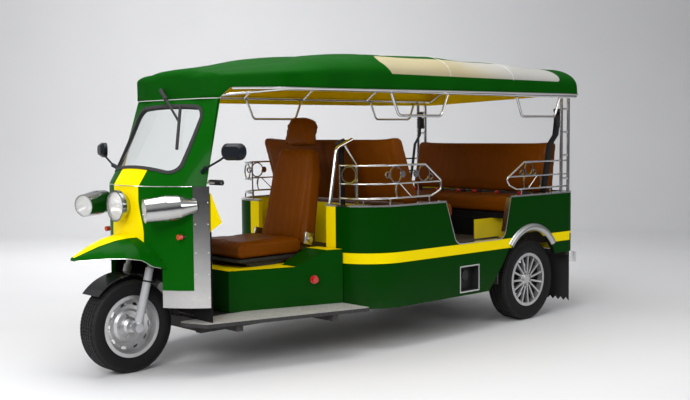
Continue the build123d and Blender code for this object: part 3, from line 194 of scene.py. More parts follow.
class Recipe:
    """The node tree of one material, or of the surround."""

    def __init__(self, name: str, owner: bpy.types.World | None = None) -> None:
        """Start an empty tree on a new material, or on the owner that is given.

        Args:
            name: the new material's name.
            owner: a surround to work on instead.
        """
        self.material = owner or bpy.data.materials.new(name)
        self.material.use_nodes = True
        self.tree = self.material.node_tree
        self.tree.nodes.clear()

    def node(self, kind: str, settings: dict[str, Any] | None = None,
             inputs: dict[Any, Any] | None = None, out: Any = 0) -> Value:
        """Make any node.

        Args:
            kind: the node's type.
            settings: its own properties, with a ramp's stops under "stops".
            inputs: numbers, colours or values for its sockets.
            out: which output to return.

        Returns:
            That output as a value.
        """
        made = self.tree.nodes.new(kind)
        for key, setting in (settings or {}).items():
            if key == "stops":
                ramp = made.color_ramp.elements
                while len(ramp) < len(setting):
                    ramp.new(0.5)
                for element, (position, colour) in zip(ramp, setting):
                    element.position, element.color = position, (*colour, 1)
            else:
                setattr(made, key, setting)
        for key, given in (inputs or {}).items():
            socket = made.inputs[key]
            if isinstance(given, Value):
                self.tree.links.new(given.socket, socket)
            elif isinstance(given, tuple) and socket.type == "RGBA":
                socket.default_value = (*given, 1)
            else:
                socket.default_value = given
        return Value(self, made.outputs[out] if len(made.outputs) else None)

    def place(self) -> Value:
        """The point on the piece, in metres."""
        return self.node("ShaderNodeTexCoord", out="Object")

    def axes(self, vector: Value | None = None) -> tuple[Value, Value, Value]:
        """The three parts of a vector, which is the point on the piece by default.

        Args:
            vector: the vector to split.

        Returns:
            Its parts along X, Y and Z.
        """
        split = self.node("ShaderNodeSeparateXYZ", None, {0: vector or self.place()})
        outputs = split.socket.node.outputs
        return tuple(Value(self, outputs[i]) for i in range(3))

    def facing(self) -> tuple[Value, Value, Value]:
        """The three parts of the surface's outward direction."""
        return self.axes(self.node("ShaderNodeTexCoord", out="Normal"))

    def grain(self, scale: float, detail: float = 3.0, stretch: Point = (1, 1, 1)) -> Value:
        """Soft noise from 0 to 1.

        Args:
            scale: features per metre.
            detail: octaves.
            stretch: how much finer it is along each axis.

        Returns:
            The noise.
        """
        point = self.node("ShaderNodeMapping", None, {"Vector": self.place(), "Scale": stretch})
        return self.node("ShaderNodeTexNoise", None, {"Vector": point, "Scale": scale, "Detail": detail})

    def cells(self, scale: float, feature: str = "F1") -> Value:
        """Distance from the middle, or from the edge, of scattered cells."""
        inputs = {"Vector": self.place(), "Scale": scale}
        return self.node("ShaderNodeTexVoronoi", {"feature": feature}, inputs)

    def mix(self, share: Any, first: Any, second: Any) -> Value:
        """Blend two colours by a share of the second."""
        return self.node("ShaderNodeMix", {"data_type": "RGBA"}, {0: share, 6: first, 7: second}, out=2)

    def relief(self, height: Value, depth: float, strength: float = 1.0) -> Value:
        """Surface direction from a height of 0 to 1 that stands for a depth in metres."""
        return self.node("ShaderNodeBump", None, {"Height": height, "Distance": depth, "Strength": strength})

    def surface(self, **sockets: Any) -> bpy.types.Material:
        """Close the tree with a Principled shader.

        Args:
            sockets: its sockets, with underscores for spaces.

        Returns:
            The material.
        """
        named = {key.replace("_", " "): given for key, given in sockets.items()}
        shader = self.node("ShaderNodeBsdfPrincipled", None, named)
        return self.close(shader)

    def close(self, shader: Value) -> bpy.types.Material:
        """Wire a shader to the output and hand over the material."""
        self.node("ShaderNodeOutputMaterial", None, {"Surface": shader})
        return self.material


class Zone(Enum):
    """Which painted panel a paint scheme belongs to."""

    COWL = "cowl"
    SCREEN = "screen"
    NOSE = "nose"
    SIDE = "side"
    PLINTH = "plinth"
    LINING = "lining"
    BENCH = "bench"


@dataclass(frozen=True)
class Finish:
    """A finish that can be put on pieces."""

    name: str

    def wire(self, r: Recipe) -> bpy.types.Material:
        """Build the node tree; each kind of finish has its own."""
        raise NotImplementedError

    def material(self) -> bpy.types.Material:
        """The finished material, made once."""
        return bpy.data.materials.get(self.name) or self.wire(Recipe(self.name))


@dataclass(frozen=True)
class Paint(Finish):
    """Gloss coach paint in deep green with a yellow scheme; the green of each panel is lightened or darkened
    as painted light.
    """

    zone: Zone = Zone.SIDE
    # Painted light: a share that makes the green lighter on well lit panels and darker on shaded ones
    painted_light_share: float = 1.0

    def yellow(self, r: Recipe) -> Value:
        """Mask of the yellow areas of this panel.

        Args:
            r: the material's tree.

        Returns:
            1 where the panel is yellow.
        """
        x, y, z = r.axes()
        across = abs(y)
        if self.zone is Zone.COWL:
            return across.below(FLASH_HALF + (FLASH_TOP_Z - z).above(0.07, 0.1) * FLASH_FLARE)
        if self.zone is Zone.SCREEN:
            out, aside, _ = r.facing()
            inner = out.below(-0.05, 0.02) & (y * aside).below(0.02, 0.01)
            return inner | (across.below(SCREEN_FLASH_HALF) & z.below(SCREEN_FLASH_TOP_Z))
        if self.zone is Zone.NOSE:
            flash = across.below(NOSE_FLASH_HALF - (x - FRONT_AXLE_X) * NOSE_FLASH_TAPER)
            return flash & r.facing()[2].above(0.30, 0.02)
        if self.zone is Zone.PLINTH:
            return r.facing()[2].above(0.96, 0.02)
        if self.zone in (Zone.LINING, Zone.BENCH):
            return z.above(-1.0)
        stripe = z.above(STRIPE_LOW_Z) & z.below(STRIPE_HIGH_Z)
        front = (x - FRONT_CORNER_X) | 0.0
        rear = (REAR_CORNER_X - x) | 0.0
        wide = (across - FRONT_CORNER_Y) | 0.0
        tight = (across - REAR_CORNER_Y) | 0.0
        near = (front * front + wide * wide) ** 0.5
        tail = (rear * rear + tight * tight) ** 0.5
        forward = x.above(CORNERS_PART_X)
        inner = (near.below(FRONT_CORNER_R) & forward) | (tail.below(REAR_CORNER_R) & (1 - forward))
        strip = across.below(DOOR_RETURN_HALF) & x.above(DOOR_RETURN_X)
        return stripe | inner | strip

    def black(self, r: Recipe) -> Value | None:
        """Mask of the parts painted black, if the panel has any: underseal on the lining and in the wheel
        wells, painted shadow under the bench cushions.

        Args:
            r: the material's tree.

        Returns:
            1 where the panel is black, or nothing.
        """
        x, y, z = r.axes()
        if self.zone is Zone.LINING:
            return z.below(LINING_LOW_Z) | abs(y).below(LINING_HALF)
        # Painted shadow: behind this line the bench bases are black for the shade under the cushions
        if self.zone is Zone.BENCH:
            return x.below(BENCH_PAINTED_SHADOW_X)
        if self.zone is Zone.SIDE:
            inside = z.below(WELL_TOP_Z) & x.below(WELL_FRONT_X) & abs(y).below(WELL_OUT_Y)
            return inside & x.above(WELL_REAR_X)
        return None

    def wire(self, r: Recipe) -> bpy.types.Material:
        """Two colours with faint cloudiness, road dust low down, orange peel and a clear coat; the green
        carries the panel's painted light.

        Args:
            r: the material's empty tree.

        Returns:
            The material.
        """
        cloud = r.grain(2.2, 4)
        dust = r.grain(16, 6)
        low = r.axes()[2].below(0.34, 0.16)
        # Painted light: the green is scaled by the panel's share of light
        green = r.mix(cloud, tone(GREEN, 0.9 * self.painted_light_share), tone(GREEN, 1.12 * self.painted_light_share))
        yellow = r.mix(cloud, YELLOW, (0.90, 0.70, 0.0))
        base = r.mix(self.yellow(r), green, yellow)
        # Black underseal, and on the bench bases black painted shadow, laid over the colours
        underseal_and_painted_shadow = self.black(r)
        if underseal_and_painted_shadow is not None:
            base = r.mix(underseal_and_painted_shadow, base, BLACK)
        base = r.mix(low * dust * 0.10, base, (0.16, 0.15, 0.13))
        peel = r.grain(420, 2)
        return r.surface(
            Base_Color=base, Roughness=0.30 + dust * 0.10 + low * 0.12, Coat_Weight=0.035 - low * 0.02,
            Coat_Roughness=0.06, Specular_IOR_Level=0.035, Normal=r.relief(peel, 0.00012, 0.35))


@dataclass(frozen=True)
class Metal(Finish):
    """Bare or polished metal with brushing, smears and a little tarnish."""

    colour: Colour = (0.66, 0.66, 0.65)
    rough: float = 0.2
    brush: Point = (1, 1, 1)
    tarnish: float = 0.12
    painted_reflection_up: float = 0.0

    def wire(self, r: Recipe) -> bpy.types.Material:
        """Metal whose gloss follows its brushing, with a painted dark reflection towards the top where
        painted_reflection_up is set.

        Args:
            r: the material's empty tree.

        Returns:
            The material.
        """
        lines = r.grain(60, 3, self.brush)
        smear = r.grain(7, 5)
        base = r.mix(smear * smear, self.colour, tone(self.colour, 1 - 2.2 * self.tarnish))
        if self.painted_reflection_up:
            # Painted reflection: the base colour darkens towards the top for the dark surroundings the sheet
            # reflects there
            height = r.axes()[2] + smear * 0.12
            base = r.mix(height.above(0.84, 0.34) * self.painted_reflection_up, base, tone(self.colour, 0.10))
        dull = self.rough * 0.7 + lines * (self.rough * 0.5) + smear * 0.06
        return r.surface(Base_Color=base, Metallic=1.0, Roughness=dull, Normal=r.relief(lines, 0.00006, 0.25))


@dataclass(frozen=True)
class Coating(Finish):
    """Plastic, rubber or satin enamel: one colour with grain, scuffs and dust."""

    colour: Colour = (0.014, 0.014, 0.015)
    rough: float = 0.45
    cell: float = 900.0
    depth: float = 0.0001
    dust: float = 0.2
    coat: float = 0.0

    def wire(self, r: Recipe) -> bpy.types.Material:
        """A grained skin with dust that gathers low and on ledges.

        Args:
            r: the material's empty tree.

        Returns:
            The material.
        """
        scuff = r.grain(24, 6)
        low = r.axes()[2].below(0.42, 0.36)
        dusty = scuff * (low * 0.7 + 0.3) * self.dust
        base = r.mix(dusty, self.colour, (0.17, 0.155, 0.135))
        return r.surface(
            Base_Color=base, Roughness=self.rough + scuff * 0.12, Coat_Weight=self.coat,
            Specular_IOR_Level=0.14, Normal=r.relief(r.cells(self.cell), self.depth, 0.6))


@dataclass(frozen=True)
class TyreRubber(Finish):
    """Tyre rubber with ridged walls and road dust in the tread."""

    axle_x: float = 0.0
    axle_z: float = 0.0
    tread_r: float = 0.26

    def wire(self, r: Recipe) -> bpy.types.Material:
        """Concentric wall ridges and a dusty tread.

        Args:
            r: the material's empty tree.

        Returns:
            The material.
        """
        x, _, z = r.axes()
        run, rise = x - self.axle_x, z - self.axle_z
        radius = (run * run + rise * rise) ** 0.5
        wall = radius.below(self.tread_r - 0.02, 0.004)
        ridge = radius.wave(0.0042) * 0.5 + 0.5
        band = radius.above(self.tread_r - 0.068, 0.001) & radius.below(self.tread_r - 0.045, 0.001)
        speck = r.grain(70, 6)
        dusty = speck * (0.05 + (1 - wall) * 0.16)
        base = r.mix(dusty, (0.0065, 0.0065, 0.007), (0.12, 0.11, 0.10))
        height = ridge * band * 0.6 + speck * 0.4
        return r.surface(Base_Color=base, Roughness=0.52 + speck * 0.2, Specular_IOR_Level=0.16,
                         Normal=r.relief(height, 0.0009, 0.5))


@dataclass(frozen=True)
class Leather(Finish):
    """Brown seat leather with pores, soft creases and rubbed high spots, darkened by a share of painted shade
    where it sits out of the light.
    """

    crease: Point = (1, 1, 1)
    # Painted shade: below 1 the leather is darkened to stand for the shade it sits in
    painted_light_share: float = 1.0

    def wire(self, r: Recipe) -> bpy.types.Material:
        """Pebble grain over slow colour changes.

        Args:
            r: the material's empty tree.

        Returns:
            The material.
        """
        slow = r.grain(3.2, 4)
        rub = r.grain(9, 5, self.crease)
        pebble = r.cells(430, "DISTANCE_TO_EDGE")
        # Painted shade: the leather's colour is scaled by its share of light
        base = r.mix(slow, tone(LEATHER, 0.78 * self.painted_light_share), tone(LEATHER, 1.18 * self.painted_light_share))
        base = r.mix(rub * rub * 0.45, base, (0.110, 0.019, 0.0005))
        skin = pebble * 0.7 + rub * 0.6
        return r.surface(
            Base_Color=base, Roughness=0.42 + slow * 0.12 + pebble * 0.06, Coat_Weight=0.02 + rub * 0.04,
            Coat_Roughness=0.3, Specular_IOR_Level=0.05, Normal=r.relief(skin, 0.0011, 0.18))


@dataclass(frozen=True)
class Canvas(Finish):
    """Coated roof cloth: weave, stretch folds, and on top a pale rounded panel."""

    colour: Colour = (0.0005, 0.062, 0.0005)
    panel: bool = False

    def wire(self, r: Recipe) -> bpy.types.Material:
        """A fine crossed weave with broad folds.

        Args:
            r: the material's empty tree.

        Returns:
            The material.
        """
        x, y, z = r.axes()
        weave = x.wave(0.0022) * (y + z).wave(0.0022) * 0.5 + 0.5
        fold = r.grain(2.6, 3, (1.0, 2.4, 2.4))
        cloud = r.grain(5, 5)
        base = r.mix(cloud, tone(self.colour, 0.82), tone(self.colour, 1.2))
        if self.panel:
            rise = z - PANEL_Z
            over, past = (abs(rise) - PANEL_HALF_Z) | 0.0, (abs(x + PANEL_BACK) - PANEL_HALF_X) | 0.0
            rounded = ((over * over + past * past) ** 0.5).below(PANEL_CORNER_R, 0.001)
            inside = rounded & (x - rise * 0.75).below(PANEL_FRONT_X, 0.002)
            grey = (x - rise * 2.0).below(PANEL_FADE_X, 0.34)
            pale = r.mix(grey, (0.39, 0.34, 0.205), (0.40, 0.395, 0.385))
            pale = r.mix(cloud * 0.25, pale, (0.34, 0.30, 0.19))
            base = r.mix(inside, base, pale)
        return r.surface(
            Base_Color=base, Roughness=0.48 + cloud * 0.16, Coat_Weight=0.01, Coat_Roughness=0.35,
            Specular_IOR_Level=0.035, Normal=r.relief(fold * 0.85 + weave * 0.05, 0.02, 0.35))


@dataclass(frozen=True)
class Webbing(Finish):
    """Woven belt webbing."""

    colour: Colour = (0.006, 0.006, 0.0065)

    def wire(self, r: Recipe) -> bpy.types.Material:
        """Twill ribs with a dull sheen.

        Args:
            r: the material's empty tree.

        Returns:
            The material.
        """
        x, y, z = r.axes()
        rib = (x + y * 0.6 + z).wave(0.0026) * 0.5 + 0.5
        base = r.mix(rib * 0.5, self.colour, tuple(2.6 * c + 0.01 for c in self.colour))
        return r.surface(Base_Color=base, Roughness=0.7 + rib * 0.1, Specular_IOR_Level=0.2,
                         Normal=r.relief(rib, 0.0004, 0.6))


@dataclass(frozen=True)
class ClearGlass(Finish):
    """Sheet glass: a tinted clear pane with a reflecting face."""

    tint: Colour = (0.965, 0.985, 0.98)
    ribbed: bool = False

    def wire(self, r: Recipe) -> bpy.types.Material:
        """Transparent and glossy shaders mixed by the angle of view, with faint smears or moulded ribs.

        Args:
            r: the material's empty tree.

        Returns:
            The material.
        """
        film = r.grain(5, 5)
        if self.ribbed:
            shape = r.relief(r.axes()[1].wave(0.013) * 0.5 + 0.5, 0.0022, 0.7)
        else:
            shape = r.relief(film, 0.0002, 0.1)
        clear = r.node("ShaderNodeBsdfTransparent", None, {"Color": self.tint})
        sheen = {"Color": (0.95, 0.96, 0.96), "Roughness": 0.03, "Normal": shape}
        gloss = r.node("ShaderNodeBsdfGlossy", None, sheen)
        edge = r.node("ShaderNodeFresnel", None, {"IOR": 1.5, "Normal": shape})
        behind = r.node("ShaderNodeNewGeometry", out="Backfacing")
        share = (edge * 0.9 + film * 0.02 + (0.10 if self.ribbed else 0.0)) * (1 - behind)
        return r.close(r.node("ShaderNodeMixShader", None, {0: share, 1: clear, 2: gloss}))


@dataclass(frozen=True)
class Lens(Finish):
    """Coloured lamp plastic with moulded pips."""

    colour: Colour = (0.56, 0.018, 0.006)

    def wire(self, r: Recipe) -> bpy.types.Material:
        """Deep colour under a clear face.

        Args:
            r: the material's empty tree.

        Returns:
            The material.
        """
        pip = r.cells(240)
        glow = r.grain(30, 2)
        base = r.mix(pip * 0.5, self.colour, tone(self.colour, 0.4))
        return r.surface(
            Base_Color=base, Roughness=0.14 + glow * 0.06, Coat_Weight=0.8, Coat_Roughness=0.04,
            Normal=r.relief(pip, 0.0008, 0.5))


@dataclass(frozen=True)
class IndicatorFinish(Finish):
    """Turn lamp: a black stalk that ends in an orange-red lens."""

    lens_x: float = 1.4745

    def wire(self, r: Recipe) -> bpy.types.Material:
        """Stalk and lens told apart by how far forward they stand.

        Args:
            r: the material's empty tree.

        Returns:
            The material.
        """
        lens = r.axes()[0].above(self.lens_x, 0.0006)
        pip = r.cells(300)
        base = r.mix(lens, (0.012, 0.012, 0.012), (0.62, 0.055, 0.012))
        base = r.mix(pip * 0.35, base, (0.2, 0.01, 0.004))
        return r.surface(Base_Color=base, Roughness=0.32 - lens * 0.16, Coat_Weight=lens * 0.8,
                         Normal=r.relief(pip, 0.0006, 0.4))


@dataclass(frozen=True)
class Chequer(Finish):
    """Aluminium tread plate with raised bars on top and a dark folded edge."""

    top_z: float = 0.3045

    def wire(self, r: Recipe) -> bpy.types.Material:
        """Crossed rows of short raised bars, worn bright on top and grimy between.

        Args:
            r: the material's empty tree.

        Returns:
            The material.
        """
        x, y, z = r.axes()
        one, two = x + y, x - y
        rows = (one.wave(0.052) * two.wave(0.052)).above(0.0, 0.02)
        bar_one = one.wave(0.026).above(0.55, 0.12) & abs(two.wave(0.104)).above(0.35, 0.1)
        bar_two = two.wave(0.026).above(0.55, 0.12) & abs(one.wave(0.104)).above(0.35, 0.1)
        raised = (bar_one & rows) | (bar_two & (1 - rows))
        grime = r.grain(14, 6)
        top = z.above(self.top_z, 0.0002)
        plate = r.mix(grime * (1 - raised * 0.7), (0.66, 0.65, 0.63), (0.36, 0.35, 0.33))
        base = r.mix(top, (0.02, 0.02, 0.02), plate)
        return r.surface(
            Base_Color=base, Metallic=top * 0.35, Roughness=0.36 + grime * 0.22 - raised * 0.08,
            Normal=r.relief(raised, 0.0022, 0.8))


@dataclass(frozen=True)
class RimmedBox(Finish):
    """A folded steel box: bright where it stands out of the panel, black inside."""

    panel_y: float = 0.719

    def wire(self, r: Recipe) -> bpy.types.Material:
        """Bare metal outside the panel's face, soft black further in.

        Args:
            r: the material's empty tree.

        Returns:
            The material.
        """
        rim = r.axes()[1].above(self.panel_y, 0.0006)
        smear = r.grain(30, 5)
        return r.surface(Base_Color=r.mix(rim, (0.012, 0.012, 0.012), (0.66, 0.66, 0.65)), Metallic=rim,
                         Roughness=0.5 - rim * 0.26 + smear * 0.1, Normal=r.relief(smear, 0.0002, 0.3))


@dataclass(frozen=True)
class CabinFloor(Finish):
    """Dark ribbed mat on the cabin floor, yellow painted wheel boxes beside it."""

    mat_z: float = 0.6015

    def wire(self, r: Recipe) -> bpy.types.Material:
        """Mat below a height, paint above it.

        Args:
            r: the material's empty tree.

        Returns:
            The material.
        """
        _, y, z = r.axes()
        mat = z.below(self.mat_z, 0.0005)
        rib = (y.wave(0.012) * 0.5 + 0.5) * mat
        dirt = r.grain(11, 6)
        box = r.mix(dirt * 0.2, YELLOW, (0.6, 0.42, 0.02))
        ribbed = r.mix(dirt * 0.5, (0.02, 0.02, 0.021), (0.1, 0.09, 0.08))
        return r.surface(Base_Color=r.mix(mat, box, ribbed), Roughness=0.34 + mat * 0.3 + dirt * 0.1,
                         Normal=r.relief(rib, 0.0018, 0.6))


@dataclass(frozen=True)
class WheelAlloy(Finish):
    """Painted wheel: bright outer face, dark drum and barrel further in."""

    middle_y: float = 0.0
    bright_from: float = 0.02
    outward: int = 1

    def wire(self, r: Recipe) -> bpy.types.Material:
        """Silver paint flakes outside, soot inside.

        Args:
            r: the material's empty tree.

        Returns:
            The material.
        """
        depth = (r.axes()[1] - self.middle_y) * self.outward
        face = depth.above(self.bright_from, 0.006)
        soot = r.grain(22, 6)
        flake = r.grain(900, 2)
        silver = r.mix(flake * 0.5, (0.60, 0.60, 0.605), (0.74, 0.74, 0.745))
        silver = r.mix(soot * soot * 0.35, silver, (0.2, 0.19, 0.18))
        base = r.mix(face, (0.035, 0.033, 0.03), silver)
        return r.surface(
            Base_Color=base, Metallic=face * 0.75 + 0.1, Roughness=0.5 - face * 0.18 + soot * 0.12,
            Coat_Weight=face * 0.3, Normal=r.relief(flake, 0.00005, 0.3))


class Finishes:
    """Every finish of the vehicle, by name."""

    # The third number of each paint is painted light: one green paint, made lighter on the cowl, screen and
    # nose and darker on the sides and plinth for how the light falls on them
    cowl = Paint("paint_cowl", Zone.COWL, 1.5)
    screen = Paint("paint_screen", Zone.SCREEN, 1.35)
    nose = Paint("paint_nose", Zone.NOSE, 1.4)
    side = Paint("paint_side", Zone.SIDE, 0.70)
    plinth = Paint("paint_plinth", Zone.PLINTH, 0.90)
    shield_lining = Paint("paint_shield_lining", Zone.LINING)
    bench_base = Paint("paint_bench_base", Zone.BENCH)
    capping = Metal("stainless_capping", (0.70, 0.70, 0.69), 0.16, (12, 1, 1))
    chrome = Metal("chrome", (0.80, 0.80, 0.80), 0.055, (1, 1, 1), 0.05)
    lamp_chrome = Metal("lamp_chrome", (0.55, 0.55, 0.54), 0.15, (1, 1, 1), 0.10)
    # The last number is painted reflection: the leg shield's sheet is darkened towards its top
    shield = Metal("leg_shield_sheet", (0.60, 0.59, 0.58), 0.22, (0.15, 0.15, 12), 0.12, 0.80)
    mirror_shell = Coating("mirror_shell", (0.007, 0.009, 0.013), 0.26, 1100, 0.00006, 0.02, 0.04)
    sleeve = Coating("silver_sleeve", (0.46, 0.47, 0.48), 0.34, 700, 0.00005, 0.04, 0.08)
    tube = Metal("polished_tube", (0.70, 0.70, 0.70), 0.14, (1, 1, 1), 0.10)
    slider = Metal("fork_slider", (0.60, 0.61, 0.63), 0.46, (1, 1, 6), 0.06)
    flare = Metal("satin_flare", (0.56, 0.56, 0.55), 0.34, (6, 1, 6), 0.12)
    zinc = Metal("zinc_fixings", (0.55, 0.55, 0.54), 0.30, (1, 1, 1), 0.2)
    mirror_glass = Metal("mirror_glass", (0.86, 0.88, 0.89), 0.02, (1, 1, 1), 0.02)
    frame_enamel = Coating("frame_enamel", (0.016, 0.016, 0.017), 0.42, 600, 0.0001, 0.5)
    plastic = Coating("black_plastic", (0.009, 0.010, 0.012), 0.36, 1100, 0.0001, 0.06)
    gloss_black = Coating("gloss_black", (0.010, 0.010, 0.011), 0.16, 500, 0.00003, 0.15, 0.4)
    rubber = Coating("black_rubber", (0.008, 0.008, 0.008), 0.55, 800, 0.00015, 0.10)
    battery = Coating("battery_case", (0.03, 0.032, 0.035), 0.5, 500, 0.0001, 0.4)
    leather = Leather("seat_leather")
    # 0.85 is painted shade: the bench leather is darkened for the shade under the roof
    bench_leather = Leather("bench_leather", (1, 2.5, 0.5), 0.85)
    canvas = Canvas("roof_canvas", panel=True)
    lining = Canvas("roof_lining", (0.92, 0.66, 0.0))
    piping = Coating("pale_piping", (0.62, 0.62, 0.58), 0.5, 700, 0.00015, 0.1)
    webbing = Webbing("belt_webbing")
    glass = ClearGlass("screen_glass")
    lamp_glass = ClearGlass("lamp_glass", (0.95, 0.97, 0.98), True)
    red_lens = Lens("red_lens")
    red_button = Lens("red_button", (0.60, 0.012, 0.010))
    indicator = IndicatorFinish("indicator_lamp")
    recess = RimmedBox("charge_recess")
    chequer = Chequer("tread_plate")
    floor = CabinFloor("cabin_floor_mat")
    dial = Coating("dial_face", (0.006, 0.006, 0.007), 0.3, 900, 0.00002, 0.0)
    dial_mark = Coating("dial_mark", (0.75, 0.75, 0.72), 0.5, 900, 0.00002, 0.0)


NODE_FINISH: dict[str, Finish] = {
    "front_fork": Finishes.slider, "handlebar": Finishes.chrome, "handlebar_grips": Finishes.rubber,
    "front_mudguard": Finishes.gloss_black, "chassis_frame": Finishes.frame_enamel,
    "front_cowl": Finishes.cowl, "leg_shield_trims": Finishes.shield,
    "leg_shield_lining": Finishes.shield_lining, "dash_panel": Finishes.plastic,
    "screen_surround": Finishes.screen, "windscreen_seal": Finishes.rubber, "windscreen": Finishes.glass,
    "nose_fender": Finishes.nose, "lamp_shells": Finishes.lamp_chrome, "lamp_lenses": Finishes.lamp_glass,
    "front_indicators": Finishes.indicator, "mirrors": Finishes.mirror_shell, "wiper": Finishes.rubber,
    "driver_floor": Finishes.chequer, "running_boards": Finishes.chequer, "seat_plinth": Finishes.plinth,
    "driver_seat_frame": Finishes.frame_enamel, "body_side_left": Finishes.side,
    "body_side_right": Finishes.side, "charge_port": Finishes.recess, "tail_panel": Finishes.side,
    "body_capping": Finishes.capping, "arch_trims": Finishes.flare, "cabin_floor": Finishes.floor,
    "bench_bases": Finishes.bench_base, "railing_left": Finishes.tube, "railing_right": Finishes.tube,
    "belt_hoop": Finishes.tube, "rear_posts": Finishes.tube, "roof_frame": Finishes.tube,
    "grab_handles": Finishes.tube, "rear_axle": Finishes.frame_enamel,
    "leaf_springs": Finishes.frame_enamel, "drive_motor": Finishes.battery,
    "battery_pack": Finishes.battery, "rear_bumper": Finishes.chrome, "tail_lamps": Finishes.red_lens,
    "mudflaps": Finishes.rubber, "stop_button": Finishes.red_button,
    "front_rim": WheelAlloy("front_wheel_paint", 0.0, 0.004, 1),
    "rear_left_rim": WheelAlloy("rear_left_wheel_paint", 0.59, 0.030, 1),
    "rear_right_rim": WheelAlloy("rear_right_wheel_paint", -0.59, 0.030, -1),
}


class Workshop:
    """Shared ways of shaping bmeshes and turning them into pieces."""

    @staticmethod
    def piece(name: str, bm: bmesh.types.BMesh, finishes: Sequence[Finish], body: str, slot: str,
              sharp: float = 35.0) -> bpy.types.Object:
        """Turn a bmesh into a piece that rides on a body.

        Args:
            name: the piece's name.
            bm: its shape, which is freed.
            finishes: one finish for each material index.
            body: the body it moves with.
            slot: the record's material slot; not used.
            sharp: edges with a larger turn than this, in degrees, stay crisp.

        Returns:
            The new object.
        """
        mesh = bpy.data.meshes.new(name)
        bm.to_mesh(mesh)
        bm.free()
        mesh.shade_smooth()
        mesh.set_sharp_from_angle(angle=math.radians(sharp))
        for finish in finishes:
            mesh.materials.append(finish.material())
        made = add_object(name, mesh)
        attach(made, body)
        LOG.info("%s: %d faces on %s", name, len(mesh.polygons), body)
        return made

    @staticmethod
    def stand(spot: Point | Vector, way: Point | Vector) -> Matrix:
        """The place of a shape that stands on a spot with its own Z along a way."""
        return Matrix.Translation(Vector(spot)) @ Vector(way).to_track_quat("Z", "Y").to_matrix().to_4x4()

    @staticmethod
    def thicken(made: bpy.types.Object, thickness: float, offset: float = 0.0) -> bpy.types.Modifier:
        """Give a sheet its thickness, on both sides by default.

        Args:
            made: the sheet.
            thickness: in metres.
            offset: -1 inward to 1 outward.

        Returns:
            The modifier.
        """
        wall = made.modifiers.new("thickness", "SOLIDIFY")
        wall.thickness, wall.offset = thickness, offset
        return wall

    @staticmethod
    def ribbon(bm: bmesh.types.BMesh, ends: Sequence[Point | Vector],
               steps: Sequence[Point | Vector]) -> None:
        """Draw an edge along a row of steps into a strip of faces.

        Args:
            bm: where it is added.
            ends: the two ends of the first edge.
            steps: the moves from each edge to the next.
        """
        edge = bm.edges.new([bm.verts.new(end) for end in ends])
        for step in steps:
            made = bmesh.ops.extrude_edge_only(bm, edges=[edge])["geom"]
            moved = [g for g in made if isinstance(g, bmesh.types.BMVert)]
            bmesh.ops.translate(bm, verts=moved, vec=step)
            edge = next(g for g in made if isinstance(g, bmesh.types.BMEdge))

    @staticmethod
    def sweep(bm: bmesh.types.BMesh, path: Sequence[Point], radius: float, segments: int = 8) -> None:
        """Add a round tube along a path.

        Args:
            bm: where it is added.
            path: the points of its middle line.
            radius: the tube's radius.
            segments: sides of the tube.
        """
        points = [Vector(p) for p in path]
        rings = []
        for i, point in enumerate(points):
            along = points[min(i + 1, len(points) - 1)] - points[max(i - 1, 0)]
            ring = bmesh.ops.create_circle(
                bm, cap_ends=i in (0, len(points) - 1), segments=segments, radius=radius,
                matrix=Workshop.stand(point, along))
            rings.append({e for v in ring["verts"] for e in v.link_edges})
        for one, two in zip(rings, rings[1:]):
            bmesh.ops.bridge_loops(bm, edges=list(one | two))
        bmesh.ops.recalc_face_normals(bm, faces=bm.faces)

    @staticmethod
    def dome(bm: bmesh.types.BMesh, spot: Point, out: Point, radius: float, height: float,
             sides: int = 10) -> None:
        """Add a small round-headed fixing that sits on a surface.

        Args:
            bm: where it is added.
            spot: a point of the surface.
            out: the way the surface faces.
            radius: the head's radius.
            height: how far it stands out.
            sides: its number of sides.
        """
        foot = Workshop.stand(spot, out)
        for low, high, wide, tight in ((-0.3, 0.55, 1.0, 0.92), (0.55, 1.0, 0.92, 0.45)):
            bmesh.ops.create_cone(
                bm, cap_ends=True, segments=sides, radius1=radius * wide, radius2=radius * tight,
                depth=height * (high - low),
                matrix=foot @ Matrix.Translation((0, 0, height * (low + high) / 2)))

    @staticmethod
    def slab(bm: bmesh.types.BMesh, low: Point, high: Point, edge: float = 0.0,
             turn: Matrix | None = None) -> None:
        """Add a box with rounded edges.

        Args:
            bm: where it is added.
            low: its lowest corner.
            high: its highest corner.
            edge: radius of the edges.
            turn: a turn about the box's middle.
        """
        middle = (Vector(low) + Vector(high)) / 2
        size = Vector(high) - Vector(low)
        matrix = Matrix.Translation(middle) @ (turn or Matrix.Identity(4)) @ Matrix.Diagonal((*size, 1))
        made = bmesh.ops.create_cube(bm, size=1.0, matrix=matrix)
        if edge:
            edges = list({e for v in made["verts"] for e in v.link_edges})
            bmesh.ops.bevel(bm, geom=edges, offset=edge, segments=3, profile=0.5, affect="EDGES", material=-1)


